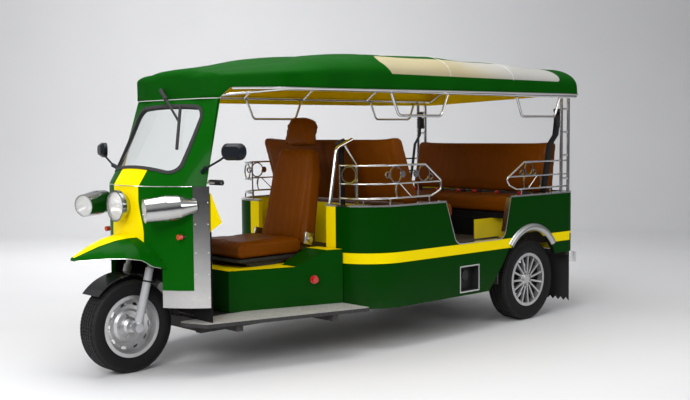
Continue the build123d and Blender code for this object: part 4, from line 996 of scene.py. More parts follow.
@dataclass
class Wheel:
    """One wheel's tyre with its tread, and the fixings on its rim."""

    place: str
    body: str
    middle: Point
    radius: float
    width: float
    bead: float
    bead_half: float
    outward: int = 1
    nuts: int = 5
    nut_ring: float = 0.05
    nut_out: float = 0.045
    turns: int = 84
    groove: float = 0.0065

    def profile(self) -> list[tuple[float, float]]:
        """Radius and side offset of the tyre's section, from one bead over the tread to the other.

        Returns:
            The points, as radius and offset.
        """
        half, r, b = self.width / 2, self.radius, self.bead
        wall = [
            (b + 0.0006, self.bead_half), (b + 0.010, self.bead_half + 0.001),
            (b + 0.018, self.bead_half + 0.005), (b + 0.034, half - 0.004), (b + 0.050, half),
            (r - 0.046, half), (r - 0.030, half - 0.002), (r - 0.017, half - 0.007),
            (r - 0.0085, half - 0.015)]
        floor, rib = r - self.groove - 0.003, r - self.groove
        edge, count, gap = half - 0.021, 5, 0.006
        step = (2 * edge + gap) / count
        tread = []
        for i in range(count):
            start = edge - i * step
            tread += [(rib, start), (rib, start - step + gap)]
            if i < count - 1:
                tread += [(floor, start - step + gap - 0.0008), (floor, start - step + 0.0008)]
        return wall + tread + [(a, -s) for a, s in reversed(wall)]

    def build_tyre(self) -> bpy.types.Object:
        """Spin the section round the axle, then raise the tread blocks.

        Returns:
            The tyre.
        """
        bm = bmesh.new()
        mx, my, mz = self.middle
        ring = [bm.verts.new((mx + a, my + s, mz)) for a, s in self.profile()]
        edges = [bm.edges.new((one, two)) for one, two in zip(ring, ring[1:] + ring[:1])]
        bmesh.ops.spin(bm, geom=ring + edges, cent=self.middle, axis=(0, 1, 0), angle=2 * math.pi,
                       steps=self.turns, use_merge=True)
        bmesh.ops.remove_doubles(bm, verts=bm.verts, dist=0.0001)
        bmesh.ops.recalc_face_normals(bm, faces=bm.faces)
        level = self.radius - self.groove - 0.0005

        def reach(v: bmesh.types.BMVert) -> float:
            """How far a point is from the axle."""
            return math.hypot(v.co.x - mx, v.co.z - mz)

        def round_the_tyre(f: bmesh.types.BMFace) -> tuple[bool, float]:
            """A face's side of the tyre and its angle about the axle."""
            spot = f.calc_center_median()
            return spot.y > my, math.atan2(spot.z - mz, spot.x - mx)

        lowest = {f: min(reach(v) for v in f.verts) for f in bm.faces}
        blocks = [f for f in bm.faces if lowest[f] > level]
        shoulders = [f for f in bm.faces if self.radius - 0.0095 < lowest[f] <= level
                     and abs(f.calc_center_median().y - my) > self.width / 2 - 0.022]
        shoulders.sort(key=round_the_tyre)
        bmesh.ops.inset_individual(bm, faces=blocks, thickness=0.0019, depth=self.groove - 0.0004)
        bmesh.ops.inset_individual(bm, faces=shoulders[::2], thickness=0.0016, depth=-0.0028)
        rubber = TyreRubber(f"{self.place}_tyre_rubber", mx, mz, self.radius)
        made = Workshop.piece(f"{self.place}_tyre_tread", bm, [rubber], self.body, "tyre_rubber", 28)
        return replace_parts(made, f"{self.place}_tyre")

    def build_fixings(self) -> bpy.types.Object:
        """The ring of wheel nuts and the valve.

        Returns:
            The nuts and the valve.
        """
        bm = bmesh.new()
        mx, my, mz = self.middle
        side = self.outward
        out = Matrix.Rotation(-side * math.pi / 2, 4, "X")
        nut = bmesh.ops.create_cone(
            bm, cap_ends=True, segments=6, radius1=0.0098, radius2=0.0088, depth=0.018,
            matrix=Matrix.Translation((mx + self.nut_ring, my + side * self.nut_out, mz)) @ out)
        geom = list({g for v in nut["verts"] for g in (v, *v.link_edges, *v.link_faces)})
        swing = 2 * math.pi * (self.nuts - 1) / self.nuts
        bmesh.ops.spin(bm, geom=geom, cent=self.middle, axis=(0, 1, 0), angle=swing,
                       steps=self.nuts - 1, use_duplicate=True)
        valve = (mx + self.bead - 0.018, my + side * (self.bead_half - 0.010), mz)
        bmesh.ops.create_cone(
            bm, cap_ends=True, segments=8, radius1=0.0045, radius2=0.0035, depth=0.030,
            matrix=Matrix.Translation(valve) @ out)
        bmesh.ops.recalc_face_normals(bm, faces=bm.faces)
        return Workshop.piece(f"{self.place}_wheel_fixings", bm, [Finishes.zinc], self.body, "silver_steel")


@dataclass
class Seam:
    """A sewn channel: a plane across a cushion that pulls its skin in."""

    axis: int
    at: float
    depth: float
    wide: float
    faces: Callable[[Vector], float]


@dataclass
class Cushion:
    """A padded piece swollen from its plain solid by a short pressure simulation."""

    node: str
    finish: Finish
    voxel: float = 0.010
    shrink: float = 0.007
    cap: float = 0.016
    pressure: float = 4.0
    fill: float = 0.75
    seams: list[Seam] = field(default_factory=list)
    taper: float = 0.0
    crown_r: float = 0.0
    heel_r: float = 0.0

    def blank(self) -> bpy.types.Object:
        """A merged, evenly meshed copy of the solid, drawn in by the shrink.

        Returns:
            The copy.
        """
        bm = bmesh.new()
        bm.from_mesh(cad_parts[self.node].data)
        bmesh.ops.remove_doubles(bm, verts=bm.verts, dist=0.0002)
        mesh = bpy.data.meshes.new(f"{self.node}_blank")
        bm.to_mesh(mesh)
        bm.free()
        made = add_object(f"{self.node}_blank", mesh)
        remesh = made.modifiers.new("even", "REMESH")
        remesh.mode, remesh.voxel_size = "VOXEL", self.voxel
        even = bpy.data.meshes.new_from_object(made.evaluated_get(bpy.context.evaluated_depsgraph_get()))
        made.modifiers.clear()
        made.data = even
        bm = bmesh.new()
        bm.from_mesh(even)
        bm.normal_update()
        moves = {v: -v.normal * self.shrink for v in bm.verts}
        for v, move in moves.items():
            v.co += move
        bmesh.ops.smooth_vert(bm, verts=bm.verts, factor=0.5,
                              use_axis_x=True, use_axis_y=True, use_axis_z=True)
        bm.to_mesh(even)
        bm.free()
        return made

    def swell(self, blank: bpy.types.Object) -> None:
        """Blow the blank up against its own skin and keep the result.

        Args:
            blank: the evenly meshed copy, whose points move.
        """
        cloth = blank.modifiers.new("swell", "CLOTH")
        cloth.settings.quality = 4
        cloth.settings.use_pressure = True
        cloth.settings.uniform_pressure_force = self.pressure
        cloth.settings.effector_weights.gravity = 0.0
        cloth.settings.tension_stiffness = cloth.settings.compression_stiffness = 14.0
        cloth.settings.bending_stiffness = 2.0
        cloth.collision_settings.use_collision = False
        cloth.point_cache.frame_start, cloth.point_cache.frame_end = 1, SWELL_FRAMES
        rest = [v.co.copy() for v in blank.data.vertices]
        scene = bpy.context.scene
        for step in range(1, SWELL_FRAMES + 1):
            scene.frame_set(step)
        swollen = blank.evaluated_get(bpy.context.evaluated_depsgraph_get()).data
        ends = [v.co.copy() for v in swollen.vertices]
        blank.modifiers.clear()
        for v, old, new in zip(blank.data.vertices, rest, ends):
            move = new - old
            if move.length > self.cap:
                move.length = self.cap
            v.co = old + move
        scene.frame_set(1)

    def narrow(self, bm: bmesh.types.BMesh) -> None:
        """Draw the width in towards the top and round the upper and lower corners.

        Args:
            bm: the swollen skin.
        """
        low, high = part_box(self.node)
        half = (high.y - low.y) / 2
        for v in bm.verts:
            t = (v.co.z - low.z) / (high.z - low.z)
            wide = half * (1 - self.taper * t)
            for radius, depth in ((self.crown_r, high.z - v.co.z), (self.heel_r, v.co.z - low.z)):
                if radius and depth < radius:
                    k = min(1.0, 1 - depth / radius)
                    wide -= radius * (1 - math.sqrt(1 - k * k))
            v.co.y *= wide / half

    def sew(self, bm: bmesh.types.BMesh) -> None:
        """Pull the skin in along the seams and keep the piece in its own space.

        Args:
            bm: the swollen skin.
        """
        low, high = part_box(self.node)
        bm.normal_update()
        directions = {v: v.normal.copy() for v in bm.verts}
        for v, out in directions.items():
            pull = 0.0
            for seam in self.seams:
                near = (v.co[seam.axis] - seam.at) / seam.wide
                if abs(near) < 3:
                    pull = max(pull, seam.depth * math.exp(-near * near) * seam.faces(out))
            v.co -= out * pull
            v.co = Vector(max(l - 0.004, min(h + 0.004, c)) for l, h, c in zip(low, high, v.co))
            v.co.z = max(v.co.z, low.z)

    def build(self) -> bpy.types.Object:
        """Make the finished cushion in place of its solid.

        Returns:
            The cushion.
        """
        blank = self.blank()
        self.swell(blank)
        bm = bmesh.new()
        bm.from_mesh(blank.data)
        bpy.data.objects.remove(blank)
        self.narrow(bm)
        self.sew(bm)
        made = Workshop.piece(f"{self.node}_cover", bm, [self.finish], "chassis", "brown_leather", 180)
        rounder = made.modifiers.new("rounder", "SUBSURF")
        rounder.levels = rounder.render_levels = 1
        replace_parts(made, self.node)
        return made


class Seating:
    """The driver seat and the two benches."""

    @staticmethod
    def front_face(out: Vector) -> float:
        """How much a direction looks forward."""
        return max(0.0, min(1.0, (out.x - 0.2) * 3))

    @staticmethod
    def back_face(out: Vector) -> float:
        """How much a direction looks back."""
        return max(0.0, min(1.0, (-out.x - 0.2) * 3))

    @staticmethod
    def top_face(out: Vector) -> float:
        """How much a direction looks up."""
        return max(0.0, min(1.0, (out.z - 0.2) * 3))

    def cushions(self) -> list[Cushion]:
        """Each padded piece with its sewn channels.

        Returns:
            The pieces, from the front to the rear.
        """
        top, fore, aft = self.top_face, self.front_face, self.back_face
        seat = [Seam(1, s * 0.172, 0.007, 0.008, top) for s in (-1, 1)]
        seat += [Seam(0, ahead(-0.70), 0.006, 0.008, top)]
        seat += [Seam(1, s * 0.060, 0.003, 0.006, top) for s in (-1, 1)]
        back = [Seam(1, s * 0.168, 0.008, 0.008, fore) for s in (-1, 1)]
        back += [Seam(1, y, 0.0028, 0.006, fore) for y in (-0.10, -0.035, 0.035, 0.10)]
        head = [Seam(1, s * 0.088, 0.004, 0.006, fore) for s in (-1, 1)]
        panels = [Seam(1, y, 0.006, 0.010, fore) for y in (-0.60, 0.60, 0.0)]
        firm = {"finish": Finishes.leather, "shrink": 0.008, "cap": 0.018, "pressure": 5.0}
        bench = {"finish": Finishes.bench_leather, "voxel": 0.014}
        return [
            Cushion("driver_seat_cushion", **firm, fill=0.8, seams=seat),
            Cushion("driver_seat_back", **firm, fill=0.8, seams=back, taper=0.17, crown_r=0.085),
            Cushion("driver_headrest", **firm, voxel=0.008, fill=0.85, seams=head, heel_r=0.030),
            Cushion("middle_bench_cushion", **bench, seams=self.channels(0.003, top)),
            Cushion("middle_bench_back", **bench, seams=self.channels(0.003, aft) + panels, crown_r=0.045),
            Cushion("rear_bench_cushion", **bench, seams=self.channels(0.003, top)),
            Cushion("rear_bench_back", **bench, seams=self.channels(0.004, fore), crown_r=0.045),
        ]

    @staticmethod
    def channels(depth: float, faces: Callable[[Vector], float]) -> list[Seam]:
        """The thirteen sewn channels of a bench cover."""
        return [Seam(1, -0.60 + 0.1 * i, depth, 0.009, faces) for i in range(13)]

    def build_hinge(self) -> bpy.types.Object:
        """Silver recline covers at both sides of the driver seat.

        Returns:
            The covers.
        """
        bm = bmesh.new()
        for side in (-1, 1):
            y = side * 0.256
            Workshop.slab(bm, (ahead(-1.205), y - 0.008, 0.655), (ahead(-1.135), y + 0.008, 0.735), 0.007,
                          Matrix.Rotation(math.radians(-12), 4, "Y"))
            bmesh.ops.create_cone(bm, cap_ends=True, segments=20, radius1=0.020, radius2=0.017, depth=0.018,
                                  matrix=Matrix.Translation((ahead(-1.172), side * 0.270, 0.690))
                                  @ Matrix.Rotation(-side * math.pi / 2, 4, "X"))
        bmesh.ops.recalc_face_normals(bm, faces=bm.faces)
        return Workshop.piece("seat_recline_covers", bm, [Finishes.zinc], "chassis", "silver_steel")

    def build(self) -> None:
        """Every cushion, then the hinge covers."""
        for cushion in self.cushions():
            cushion.build()
        self.build_hinge()


@dataclass
class Canopy:
    """The canvas roof, stretched over the bows in one piece."""

    stations: tuple[tuple[float, ...], ...] = (     # back, half width, left edge, right edge, shoulder, crown
        (0.340, 0.300, 1.562, 1.562, 1.690, 1.732), (0.368, 0.428, 1.562, 1.562, 1.676, 1.739),
        (0.404, 0.480, 1.618, 1.575, 1.682, 1.746), (0.620, 0.690, 1.617, 1.572, 1.690, 1.784),
        (0.920, 0.740, 1.614, 1.570, 1.702, 1.828), (1.420, 0.740, 1.618, 1.570, 1.712, 1.872),
        (1.980, 0.740, 1.622, 1.570, 1.716, 1.884), (2.640, 0.740, 1.626, 1.572, 1.708, 1.868),
        (3.425, 0.740, 1.630, 1.580, 1.690, 1.846))
    bows: tuple[float, ...] = (0.340, 1.010, 1.420, 1.980, 2.640, 3.425)
    hem_stops: tuple[float, ...] = (0.412, 0.52, 0.62, 0.77, 0.92, 1.42, 1.98, 2.64, 3.42)
    corner: float = 0.040
    thick: float = 0.004
    end_drop: float = 0.18
    across: int = 72
    rows: int = 96

    def section(self, back: float) -> tuple[float, ...]:
        """Half width, left and right edge, shoulder and crown height at a distance behind the front axle.

        Args:
            back: distance behind the front axle.

        Returns:
            The five sizes.
        """
        for one, two in zip(self.stations, self.stations[1:]):
            if back <= two[0]:
                t = (back - one[0]) / (two[0] - one[0])
                return tuple(a + (b - a) * t for a, b in zip(one[1:], two[1:]))
        return self.stations[-1][1:]

    def sag(self, back: float) -> float:
        """How far the cloth hangs below the straight line between two bows.

        Args:
            back: distance behind the front axle.

        Returns:
            The drop in metres.
        """
        for one, two in zip(self.bows, self.bows[1:]):
            if back <= two:
                return 0.010 * math.sin(math.pi * (back - one) / (two - one)) ** 2
        return 0.0

    def skin(self, back: float, side: float) -> Vector:
        """A point of the cloth.

        Args:
            back: distance behind the front axle.
            side: from -1 at the right edge over 0 at the crown to 1 at the left edge.

        Returns:
            The point, in the vehicle's frame.
        """
        half, left, right, shoulder, crown = self.section(back)
        edge = left if side > 0 else right
        first, last = self.stations[0][0], self.stations[-1][0]
        gap = max(0.0, self.corner - min(back - first, last - back)) / self.corner
        draw = self.corner * (1 - math.sqrt(max(0.0, 1 - gap * gap)))
        half -= draw * 0.6
        crown, shoulder = crown - draw * 0.8, shoulder - draw * 0.8
        flat_y, flat_z = half * 0.64, crown - 0.026
        s = abs(side)
        hang = self.sag(back)
        if s < 0.56:
            t = s / 0.56
            y, z = flat_y * t, crown - 0.026 * t * t - hang
        elif s < 0.86:
            t = (s - 0.56) / 0.30 * math.pi / 2
            y = flat_y + (half - flat_y) * math.sin(t)
            z = shoulder + (flat_z - shoulder) * math.cos(t) - hang * math.cos(t)
        else:
            t = (s - 0.86) / 0.14
            y, z = half, shoulder + (edge - shoulder) * t
            y += 0.0045 * t * math.sin(back * 17.0) * min(1.0, (back - first) * 4)
        soft = noise.noise(Vector((back * 3.0, side * 4.0, 0.3))) * 0.004
        return Vector((ahead(-back), math.copysign(y + soft * 0.5, side) if s else 0.0, z + soft * (1 - s)))

    def build(self) -> bpy.types.Object:
        """Lay a grid over the bows and close its front and rear.

        Returns:
            The cloth.
        """
        first, last = self.stations[0][0], self.stations[-1][0]
        rounds = [self.corner * (1 - math.cos(math.pi * k / 16)) for k in range(8)]
        run = last - first - 2 * self.corner
        middle = [first + self.corner + run * k / self.rows for k in range(self.rows + 1)]
        stops = [s[0] for s in self.stations[1:3]]
        backs = sorted([first + d for d in rounds] + stops + middle + [last - d for d in reversed(rounds)])
        bm = bmesh.new()
        sides = [2 * k / self.across - 1 for k in range(self.across + 1)]
        rows = [[bm.verts.new(self.skin(back, side)) for side in sides] for back in backs]
        for one, two in zip(rows, rows[1:]):
            for k in range(self.across):
                bm.faces.new((one[k], one[k + 1], two[k + 1], two[k]))
        ends = [bm.faces.new(rows[0]), bm.faces.new(rows[-1])]
        bmesh.ops.recalc_face_normals(bm, faces=bm.faces)
        bmesh.ops.inset_individual(bm, faces=ends, thickness=0.005, depth=0.0)
        bmesh.ops.recalc_face_normals(bm, faces=bm.faces)
        if max(bm.faces, key=lambda f: f.calc_center_median().z).normal.z < 0:
            bmesh.ops.reverse_faces(bm, faces=bm.faces)
        area = sum(f.calc_area() for f in bm.faces)
        cloth = [Finishes.canvas, Finishes.lining, Finishes.piping]
        made = Workshop.piece("roof_cloth", bm, cloth, "chassis", "green_canvas", 60)
        wall = Workshop.thicken(made, self.thick, -1.0)
        wall.material_offset, wall.material_offset_rim = 1, 2
        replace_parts(made, "roof_canopy")
        length_m = (last - first) + 2 * self.end_drop
        return (made, area / length_m)[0]

    def build_piping(self) -> bpy.types.Object:
        """Pale piping on the seams over two bows and along the front hem, and the batten of the left hem.

        Returns:
            The piping.
        """
        bm = bmesh.new()
        lift = Vector((0, 0, 0.001))
        hem = [(ahead(-0.372), 0.432, 1.561), (ahead(-0.337), 0.300, 1.561)]
        hem += [(x, -y, z) for x, y, z in reversed(hem)]
        Workshop.sweep(bm, hem, 0.0022, 6)
        strip = bmesh.new()
        line = [self.skin(back, 1.0) for back in self.hem_stops]
        Workshop.sweep(strip, [p + Vector((0, 0.001, -0.004)) for p in line], 0.008, 8)
        Workshop.piece("roof_hem_batten", strip, [Finishes.capping], "chassis", "stainless")
        for back in self.bows[3:5]:
            points = [self.skin(back, -0.86 + 1.72 * k / 40) + lift for k in range(41)]
            Workshop.sweep(bm, points, 0.0018, 6)
        return Workshop.piece("roof_piping", bm, [Finishes.piping], "chassis", "green_canvas")


@dataclass
class Belts:
    """Belts at the rear posts and the belt hoop, with the reels, stalks and buckles of the benches."""

    width: float = 0.046
    thick: float = 0.0016
    rear_y: float = 0.680
    rear_run: tuple[Point, ...] = (     # along, inward, height
        (-1.640, 0.0, 1.50), (-1.634, 0.0, 1.42), (-1.624, 0.004, 1.33), (-1.560, 0.010, 1.26),
        (-1.535, 0.012, 1.12), (-1.505, 0.014, 0.985), (-1.490, 0.015, 0.915))
    driver_run: tuple[Point, ...] = (
        (0.215, 0.336, 1.292), (0.212, 0.334, 1.10), (0.205, 0.334, 0.90), (0.190, 0.336, 0.66))
    stalks: tuple[tuple[float, float], ...] = ((-1.46, 0.30), (-1.47, 0.08), (-1.45, 0.52))

    def strap(self, name: str, path: Sequence[Point], across: Point) -> bpy.types.Object:
        """A flat strap along a path.

        Args:
            name: the piece's name.
            path: its middle line.
            across: the way its width runs.

        Returns:
            The strap.
        """
        bm = bmesh.new()
        side = Vector(across).normalized() * self.width / 2
        start = Vector(path[0])
        steps = [Vector(two) - Vector(one) for one, two in zip(path, path[1:])]
        Workshop.ribbon(bm, (start - side, start + side), steps)
        bmesh.ops.recalc_face_normals(bm, faces=bm.faces)
        length = sum(step.length for step in steps)
        area = sum(f.calc_area() for f in bm.faces)
        made = Workshop.piece(name, bm, [Finishes.webbing], "chassis", "black_rubber", 60)
        Workshop.thicken(made, self.thick)
        return (made, area / length)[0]

    def build(self) -> None:
        """Belts, their reels and red buckles."""
        for label, side in (("left", 1), ("right", -1)):
            path = [(x, side * self.rear_y - side * inward, z) for x, inward, z in self.rear_run]
            self.strap(f"rear_belt_{label}", path, (0.35, -side * 0.94, 0))
        self.strap("driver_belt", self.driver_run, (1, 0, 0))
        bm = bmesh.new()
        lean = Matrix.Rotation(math.radians(22), 4, "Y")
        Workshop.slab(bm, (0.185, 0.326, 1.276), (0.262, 0.346, 1.312), 0.007, lean)
        Workshop.slab(bm, (-1.615, -0.655, 0.868), (-1.515, 0.655, 0.899), 0.006)
        for side in (-1, 1):
            reel_y = side * 0.682
            Workshop.slab(bm, (-1.672, reel_y - 0.030, 1.385), (-1.632, reel_y + 0.022, 1.475), 0.008)
            Workshop.slab(bm, (-1.652, reel_y - 0.026, 1.498), (-1.622, reel_y + 0.026, 1.522), 0.006)
            for x, stalk_y in self.stalks:
                y = side * stalk_y
                Workshop.slab(bm, (x - 0.024, y - 0.016, 0.893), (x + 0.044, y + 0.016, 0.916), 0.006)
        bmesh.ops.recalc_face_normals(bm, faces=bm.faces)
        Workshop.piece("belt_reels_and_stalks", bm, [Finishes.plastic], "chassis", "black_plastic")
        bm = bmesh.new()
        for side in (-1, 1):
            for x, stalk_y in self.stalks:
                y = side * stalk_y
                Workshop.slab(bm, (x + 0.040, y - 0.013, 0.896), (x + 0.060, y + 0.013, 0.917), 0.004)
        bmesh.ops.recalc_face_normals(bm, faces=bm.faces)
        Workshop.piece("belt_buckle_buttons", bm, [Finishes.red_button], "chassis", "red_lens")


@dataclass
class Lamps:
    """Bulbs of the front lamps, and the mirror panes."""

    lamp_z: float = 0.956
    torpedo_front: Point = (1.675, 0.330, 0.943)
    torpedo_tail: Point = (1.406, 0.432, 0.966)

    def build(self) -> None:
        """Bulbs and mirror glass."""
        bm = bmesh.new()
        sites = [(Vector((1.628, 0.0, self.lamp_z)), Vector((1, 0, 0)), 0.013)]
        for side in (-1, 1):
            front, tail = (Vector((x, side * y, z)) for x, y, z in (self.torpedo_front, self.torpedo_tail))
            way = (front - tail).normalized()
            sites.append((front - way * 0.036, way, 0.009))
        for spot, way, size in sites:
            bmesh.ops.create_uvsphere(bm, u_segments=16, v_segments=10, radius=size,
                                      matrix=Workshop.stand(spot, way) @ Matrix.Diagonal((1, 1, 1.5, 1)))
            bmesh.ops.create_cone(bm, cap_ends=True, segments=16, radius1=size * 0.9, radius2=size * 0.8,
                                  depth=size * 2.4, matrix=Workshop.stand(spot - way * size * 1.3, way))
        Workshop.piece("lamp_bulbs", bm, [Finishes.chrome], "chassis", "chrome")
        bm = bmesh.new()
        for side in (-1, 1):
            head = Vector((ahead(-0.263), side * 0.683, 1.262))
            face = Vector((-0.94, -side * 0.34, 0)).normalized()
            pane = bmesh.ops.create_circle(bm, cap_ends=True, segments=40, radius=1.0)
            for v in pane["verts"]:
                v.co = Vector((math.copysign(abs(v.co.x) ** 0.75, v.co.x) * 0.066,
                               math.copysign(abs(v.co.y) ** 0.75, v.co.y) * 0.038, 0.0))
            bmesh.ops.transform(bm, verts=pane["verts"], matrix=Workshop.stand(head + face * 0.0204, face))
        bmesh.ops.recalc_face_normals(bm, faces=bm.faces)
        panes = Workshop.piece("mirror_panes", bm, [Finishes.mirror_glass], "chassis", "chrome")
        Workshop.thicken(panes, 0.0012)


@dataclass
class Trim:
    """Wiper, fork sleeves, beads, screws and the dial."""

    cowl_r: float = 0.580
    seam_z: float = 1.070

    def cowl_point(self, degrees: float, z: float, out: float = 0.0) -> tuple[Vector, Vector]:
        """A point on the curved cowl and the way it faces.

        Args:
            degrees: turn from straight ahead, to the left.
            z: height.
            out: how far it stands off the cowl.

        Returns:
            The point and its outward direction.
        """
        a = math.radians(degrees)
        way = Vector((math.cos(a), math.sin(a), 0))
        return Vector((ahead(-self.cowl_r), 0, z)) + way * (self.cowl_r + out), way

    def build_beads(self) -> bpy.types.Object:
        """The bead on the cowl's seam and the rolled edge of the nose.

        Returns:
            The beads.
        """
        bm = bmesh.new()
        seam = [self.cowl_point(-46.2 + 92.4 * k / 44, self.seam_z, 0.0006)[0] for k in range(45)]
        Workshop.sweep(bm, seam, 0.0026, 8)
        nose = ((-0.050, 0.290, 0.618), (-0.01, 0.272, 0.628), (0.04, 0.247, 0.665), (0.11, 0.205, 0.677),
                (0.20, 0.142, 0.679), (0.326, 0.028, 0.669))
        line = [(ahead(a), h, z) for a, h, z in nose] + [(ahead(a), -h, z) for a, h, z in reversed(nose)]
        Workshop.sweep(bm, line, 0.0018, 8)
        return Workshop.piece("cowl_beads", bm, [Finishes.capping], "chassis", "stainless")

    def build_fixings(self) -> bpy.types.Object:
        """Dome screws down the leg shields, along the capping and on the boards.

        Returns:
            The screws.
        """
        bm = bmesh.new()
        for side in (-1, 1):
            for degrees in (47.6, 54.6):
                for z in (0.45, 0.58, 0.70, 0.86, 0.98):
                    spot, way = self.cowl_point(side * degrees, z)
                    Workshop.dome(bm, spot, way, 0.0042, 0.0022)
            for x in (-0.10, -0.30, -1.12, -1.30, -1.48, -1.78):
                Workshop.dome(bm, (x, side * 0.704, 0.9123), (0, 0, 1), 0.0045, 0.0026)
            for back, y in ((0.32, 0.36), (0.60, 0.40), (0.90, 0.50), (1.16, 0.62)):
                Workshop.dome(bm, (ahead(-back), side * y, 0.305), (0, 0, 1), 0.0055, 0.003)
        bmesh.ops.recalc_face_normals(bm, faces=bm.faces)
        return Workshop.piece("dome_screws", bm, [Finishes.zinc], "chassis", "silver_steel")

    def build_dash(self) -> bpy.types.Object:
        """A round speed dial with plain marks.

        Returns:
            The dial.
        """
        bm = bmesh.new()
        middle = Vector((ahead(-0.1785), 0.0, 1.072))
        way = Vector((-0.863, 0, 0.505)).normalized()
        turn = Workshop.stand(middle, way)
        bmesh.ops.create_cone(bm, cap_ends=True, segments=40, radius1=0.042, radius2=0.040, depth=0.006,
                              matrix=turn)
        for k in range(11):
            swing = Matrix.Translation((0, 0, 0.0036)) @ Matrix.Rotation(math.radians(-135 + 27 * k), 4, "Z")
            tick = swing @ Matrix.Translation((0.033, 0, 0)) @ Matrix.Diagonal((0.008, 0.0016, 0.0012, 1))
            made = bmesh.ops.create_cube(bm, size=1.0, matrix=turn @ tick)
            for face in {f for v in made["verts"] for f in v.link_faces}:
                face.material_index = 1
        bmesh.ops.recalc_face_normals(bm, faces=bm.faces)
        faces = [Finishes.dial, Finishes.dial_mark]
        return Workshop.piece("speed_dial", bm, faces, "chassis", "black_plastic")

    def build_wiper(self) -> bpy.types.Object:
        """The boot over the wiper's spindle, its arm and the rubber blade.

        Returns:
            The wiper.
        """
        bm = bmesh.new()
        hub, tip = Vector((ahead(-0.322), -0.093, 1.619)), Vector((ahead(-0.250), 0.1974, 1.4296))
        Workshop.sweep(bm, [hub, hub.lerp(tip, 0.30)], 0.0125, 12)
        Workshop.sweep(bm, [hub.lerp(tip, 0.28), tip], 0.0075, 10)
        top, low = Vector((ahead(-0.296), 0.148, 1.5208)), Vector((ahead(-0.176), 0.2804, 1.2763))
        Workshop.sweep(bm, [top, low], 0.0092, 10)
        return Workshop.piece("wiper_blade", bm, [Finishes.rubber], "chassis", "black_plastic")

    def build_fork(self) -> None:
        """The silver sleeves of the fork legs and the dark ring round each."""
        lean = math.tan(math.radians(15))
        for name, low, high, radius, finish in (("fork_sleeves", 0.295, 0.600, 0.0235, Finishes.sleeve),
                                                ("fork_rings", 0.520, 0.530, 0.0243, Finishes.rubber)):
            bm = bmesh.new()
            for y in (-0.116, 0.116):
                Workshop.sweep(bm, [(ahead(-lean * (z - 0.267)), y, z) for z in (low, high)], radius, 24)
            Workshop.piece(name, bm, [finish], "steering", "silver_steel")

    def build(self) -> None:
        """All the small trim."""
        self.build_wiper()
        self.build_fork()
        self.build_beads()
        self.build_fixings()
        self.build_dash()


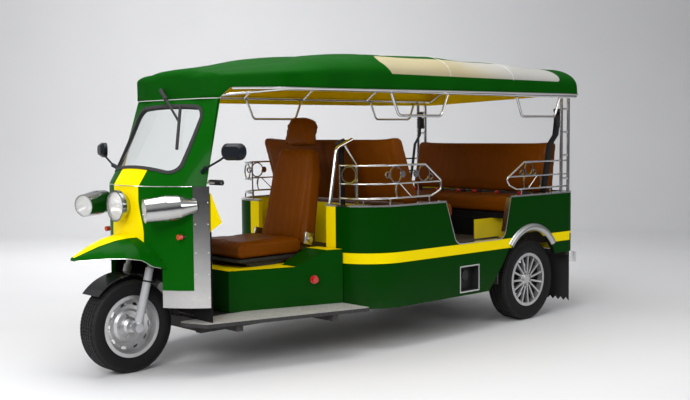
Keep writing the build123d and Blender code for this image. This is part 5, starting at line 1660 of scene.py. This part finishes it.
@dataclass
class Studio:
    """Pale sweep, soft lights and the camera of the picture."""

    camera_at: Point = (4.655, 5.085, 1.364)
    yaw: float = 43.258
    pitch: float = -3.818
    roll: float = -0.471
    lens: float = 53.19
    sweep_r: float = 2.6

    def axes(self) -> tuple[Vector, Vector, Vector]:
        """The camera's right, up and forward directions.

        Returns:
            The three directions.
        """
        a, p, r = (math.radians(v) for v in (self.yaw, self.pitch, self.roll))
        look = Vector((-math.sin(a) * math.cos(p), -math.cos(a) * math.cos(p), math.sin(p)))
        right = look.cross(Vector((0, 0, 1))).normalized()
        up = right.cross(look)
        return (right * math.cos(r) + up * math.sin(r), up * math.cos(r) - right * math.sin(r), look)

    def build_camera(self) -> None:
        """Place the camera where the picture was taken from."""
        right, up, look = self.axes()
        data = bpy.data.cameras.new("picture")
        data.sensor_fit, data.sensor_width, data.lens = "HORIZONTAL", 36.0, self.lens
        data.clip_end = 100
        camera = add_object("picture", data)
        turn = Matrix((right, up, -look)).transposed().to_4x4()
        camera.matrix_world = Matrix.Translation(self.camera_at) @ turn
        bpy.context.scene.camera = camera

    def build_floor(self) -> None:
        """A pale floor that sweeps up into the wall behind."""
        bm = bmesh.new()
        turns = [math.pi / 48 * k for k in range(25)]
        curve = [(0, -self.sweep_r * (math.sin(b) - math.sin(a)), self.sweep_r * (math.cos(a) - math.cos(b)))
                 for a, b in zip(turns, turns[1:])]
        steps = [(0, -15.5, 0), *curve, (0, 0, 7.0)]
        Workshop.ribbon(bm, ((-16, 9.0, 0), (16, 9.0, 0)), steps)
        square = Matrix.Rotation(math.radians(-self.yaw), 3, "Z")
        bmesh.ops.rotate(bm, verts=bm.verts, cent=(0, 0, 0), matrix=square)
        bmesh.ops.recalc_face_normals(bm, faces=bm.faces)
        mesh = bpy.data.meshes.new("sweep")
        bm.to_mesh(mesh)
        bm.free()
        mesh.shade_smooth()
        r = Recipe("studio_sweep")
        speck = r.grain(1.2, 3)
        pale = r.mix(speck, (0.66, 0.66, 0.67), (0.70, 0.70, 0.705))
        mesh.materials.append(r.surface(Base_Color=pale, Roughness=0.62))
        add_object("sweep", mesh)

    def build_lights(self) -> None:
        """Large soft boxes and a surround that is paler above."""
        boxes = (  # name, place, target, width, height, power
            ("overhead", (0.8, 0.2, 4.6), (0.2, 0.0, 0.5), 4.6, 3.4, 215.0),
            ("key", (5.4, 3.4, 3.6), (0.4, 0.2, 0.9), 2.6, 2.6, 215.0),
            ("side", (-2.6, 5.6, 3.0), (-0.6, 0.5, 0.9), 3.2, 2.0, 55.0),
            ("front", (6.0, -2.6, 2.6), (0.8, 0.0, 0.8), 2.2, 2.2, 90.0),
            ("wall", (-0.6, -3.8, 4.2), (-3.2, -6.6, 1.6), 4.6, 1.5, 215.0),
        )
        for name, place, target, wide, high, power in boxes:
            data = bpy.data.lights.new(name, "AREA")
            data.shape, data.size, data.size_y, data.energy = "RECTANGLE", wide, high, power
            light = add_object(name, data)
            light.location = place
            light.rotation_euler = (Vector(target) - Vector(place)).to_track_quat("-Z", "Y").to_euler()
        world = bpy.data.worlds.new("surround")
        r = Recipe("surround", world)
        height = r.axes(r.node("ShaderNodeTexCoord", out="Generated"))[2]
        sky = r.mix(height.above(0.32, 0.22), (0.075, 0.077, 0.082), (0.44, 0.445, 0.455))
        glow = r.node("ShaderNodeBackground", None, {"Color": sky, "Strength": 1.0})
        r.node("ShaderNodeOutputWorld", None, {"Surface": glow})
        bpy.context.scene.world = world
        bpy.context.scene.view_settings.view_transform = "Standard"

    def build(self) -> None:
        """Camera, floor and lights."""
        self.build_camera()
        self.build_floor()
        self.build_lights()


def dress_nodes() -> None:
    """Give every solid that stays on show its finish."""
    for name, finish in NODE_FINISH.items():
        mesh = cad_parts[name].data
        mesh.materials.clear()
        mesh.materials.append(finish.material())
        LOG.info("%s: %s", name, finish.name)
    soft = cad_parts["mirrors"].modifiers.new("soft_edges", "BEVEL")
    soft.width, soft.segments, soft.limit_method, soft.angle_limit = 0.012, 4, "ANGLE", math.radians(30)


def main() -> None:
    """Build the studio, dress the solids and add each sub-assembly."""
    logging.basicConfig(level=logging.INFO, format="%(name)s %(message)s")
    Studio().build()
    dress_nodes()
    wheels = [Wheel("front", "front_wheel", (FRONT_AXLE_X, 0.0, 0.267), 0.267, 0.155, 0.165, 0.057,
                    outward=1, nut_ring=0.064, nut_out=0.036)]
    for label, side in (("left", 1), ("right", -1)):
        wheels.append(Wheel(f"rear_{label}", f"rear_wheel_{label}", (REAR_AXLE_X, side * 0.59, 0.290),
                            0.290, 0.170, 0.179, 0.066, outward=side, nut_ring=0.042, nut_out=0.059))
    for wheel in wheels:
        wheel.build_tyre()
        wheel.build_fixings()
    roof = Canopy()
    roof.build()
    roof.build_piping()
    Seating().build()
    Belts().build()
    Lamps().build()
    Trim().build()


if __name__ == "__main__":
    main()
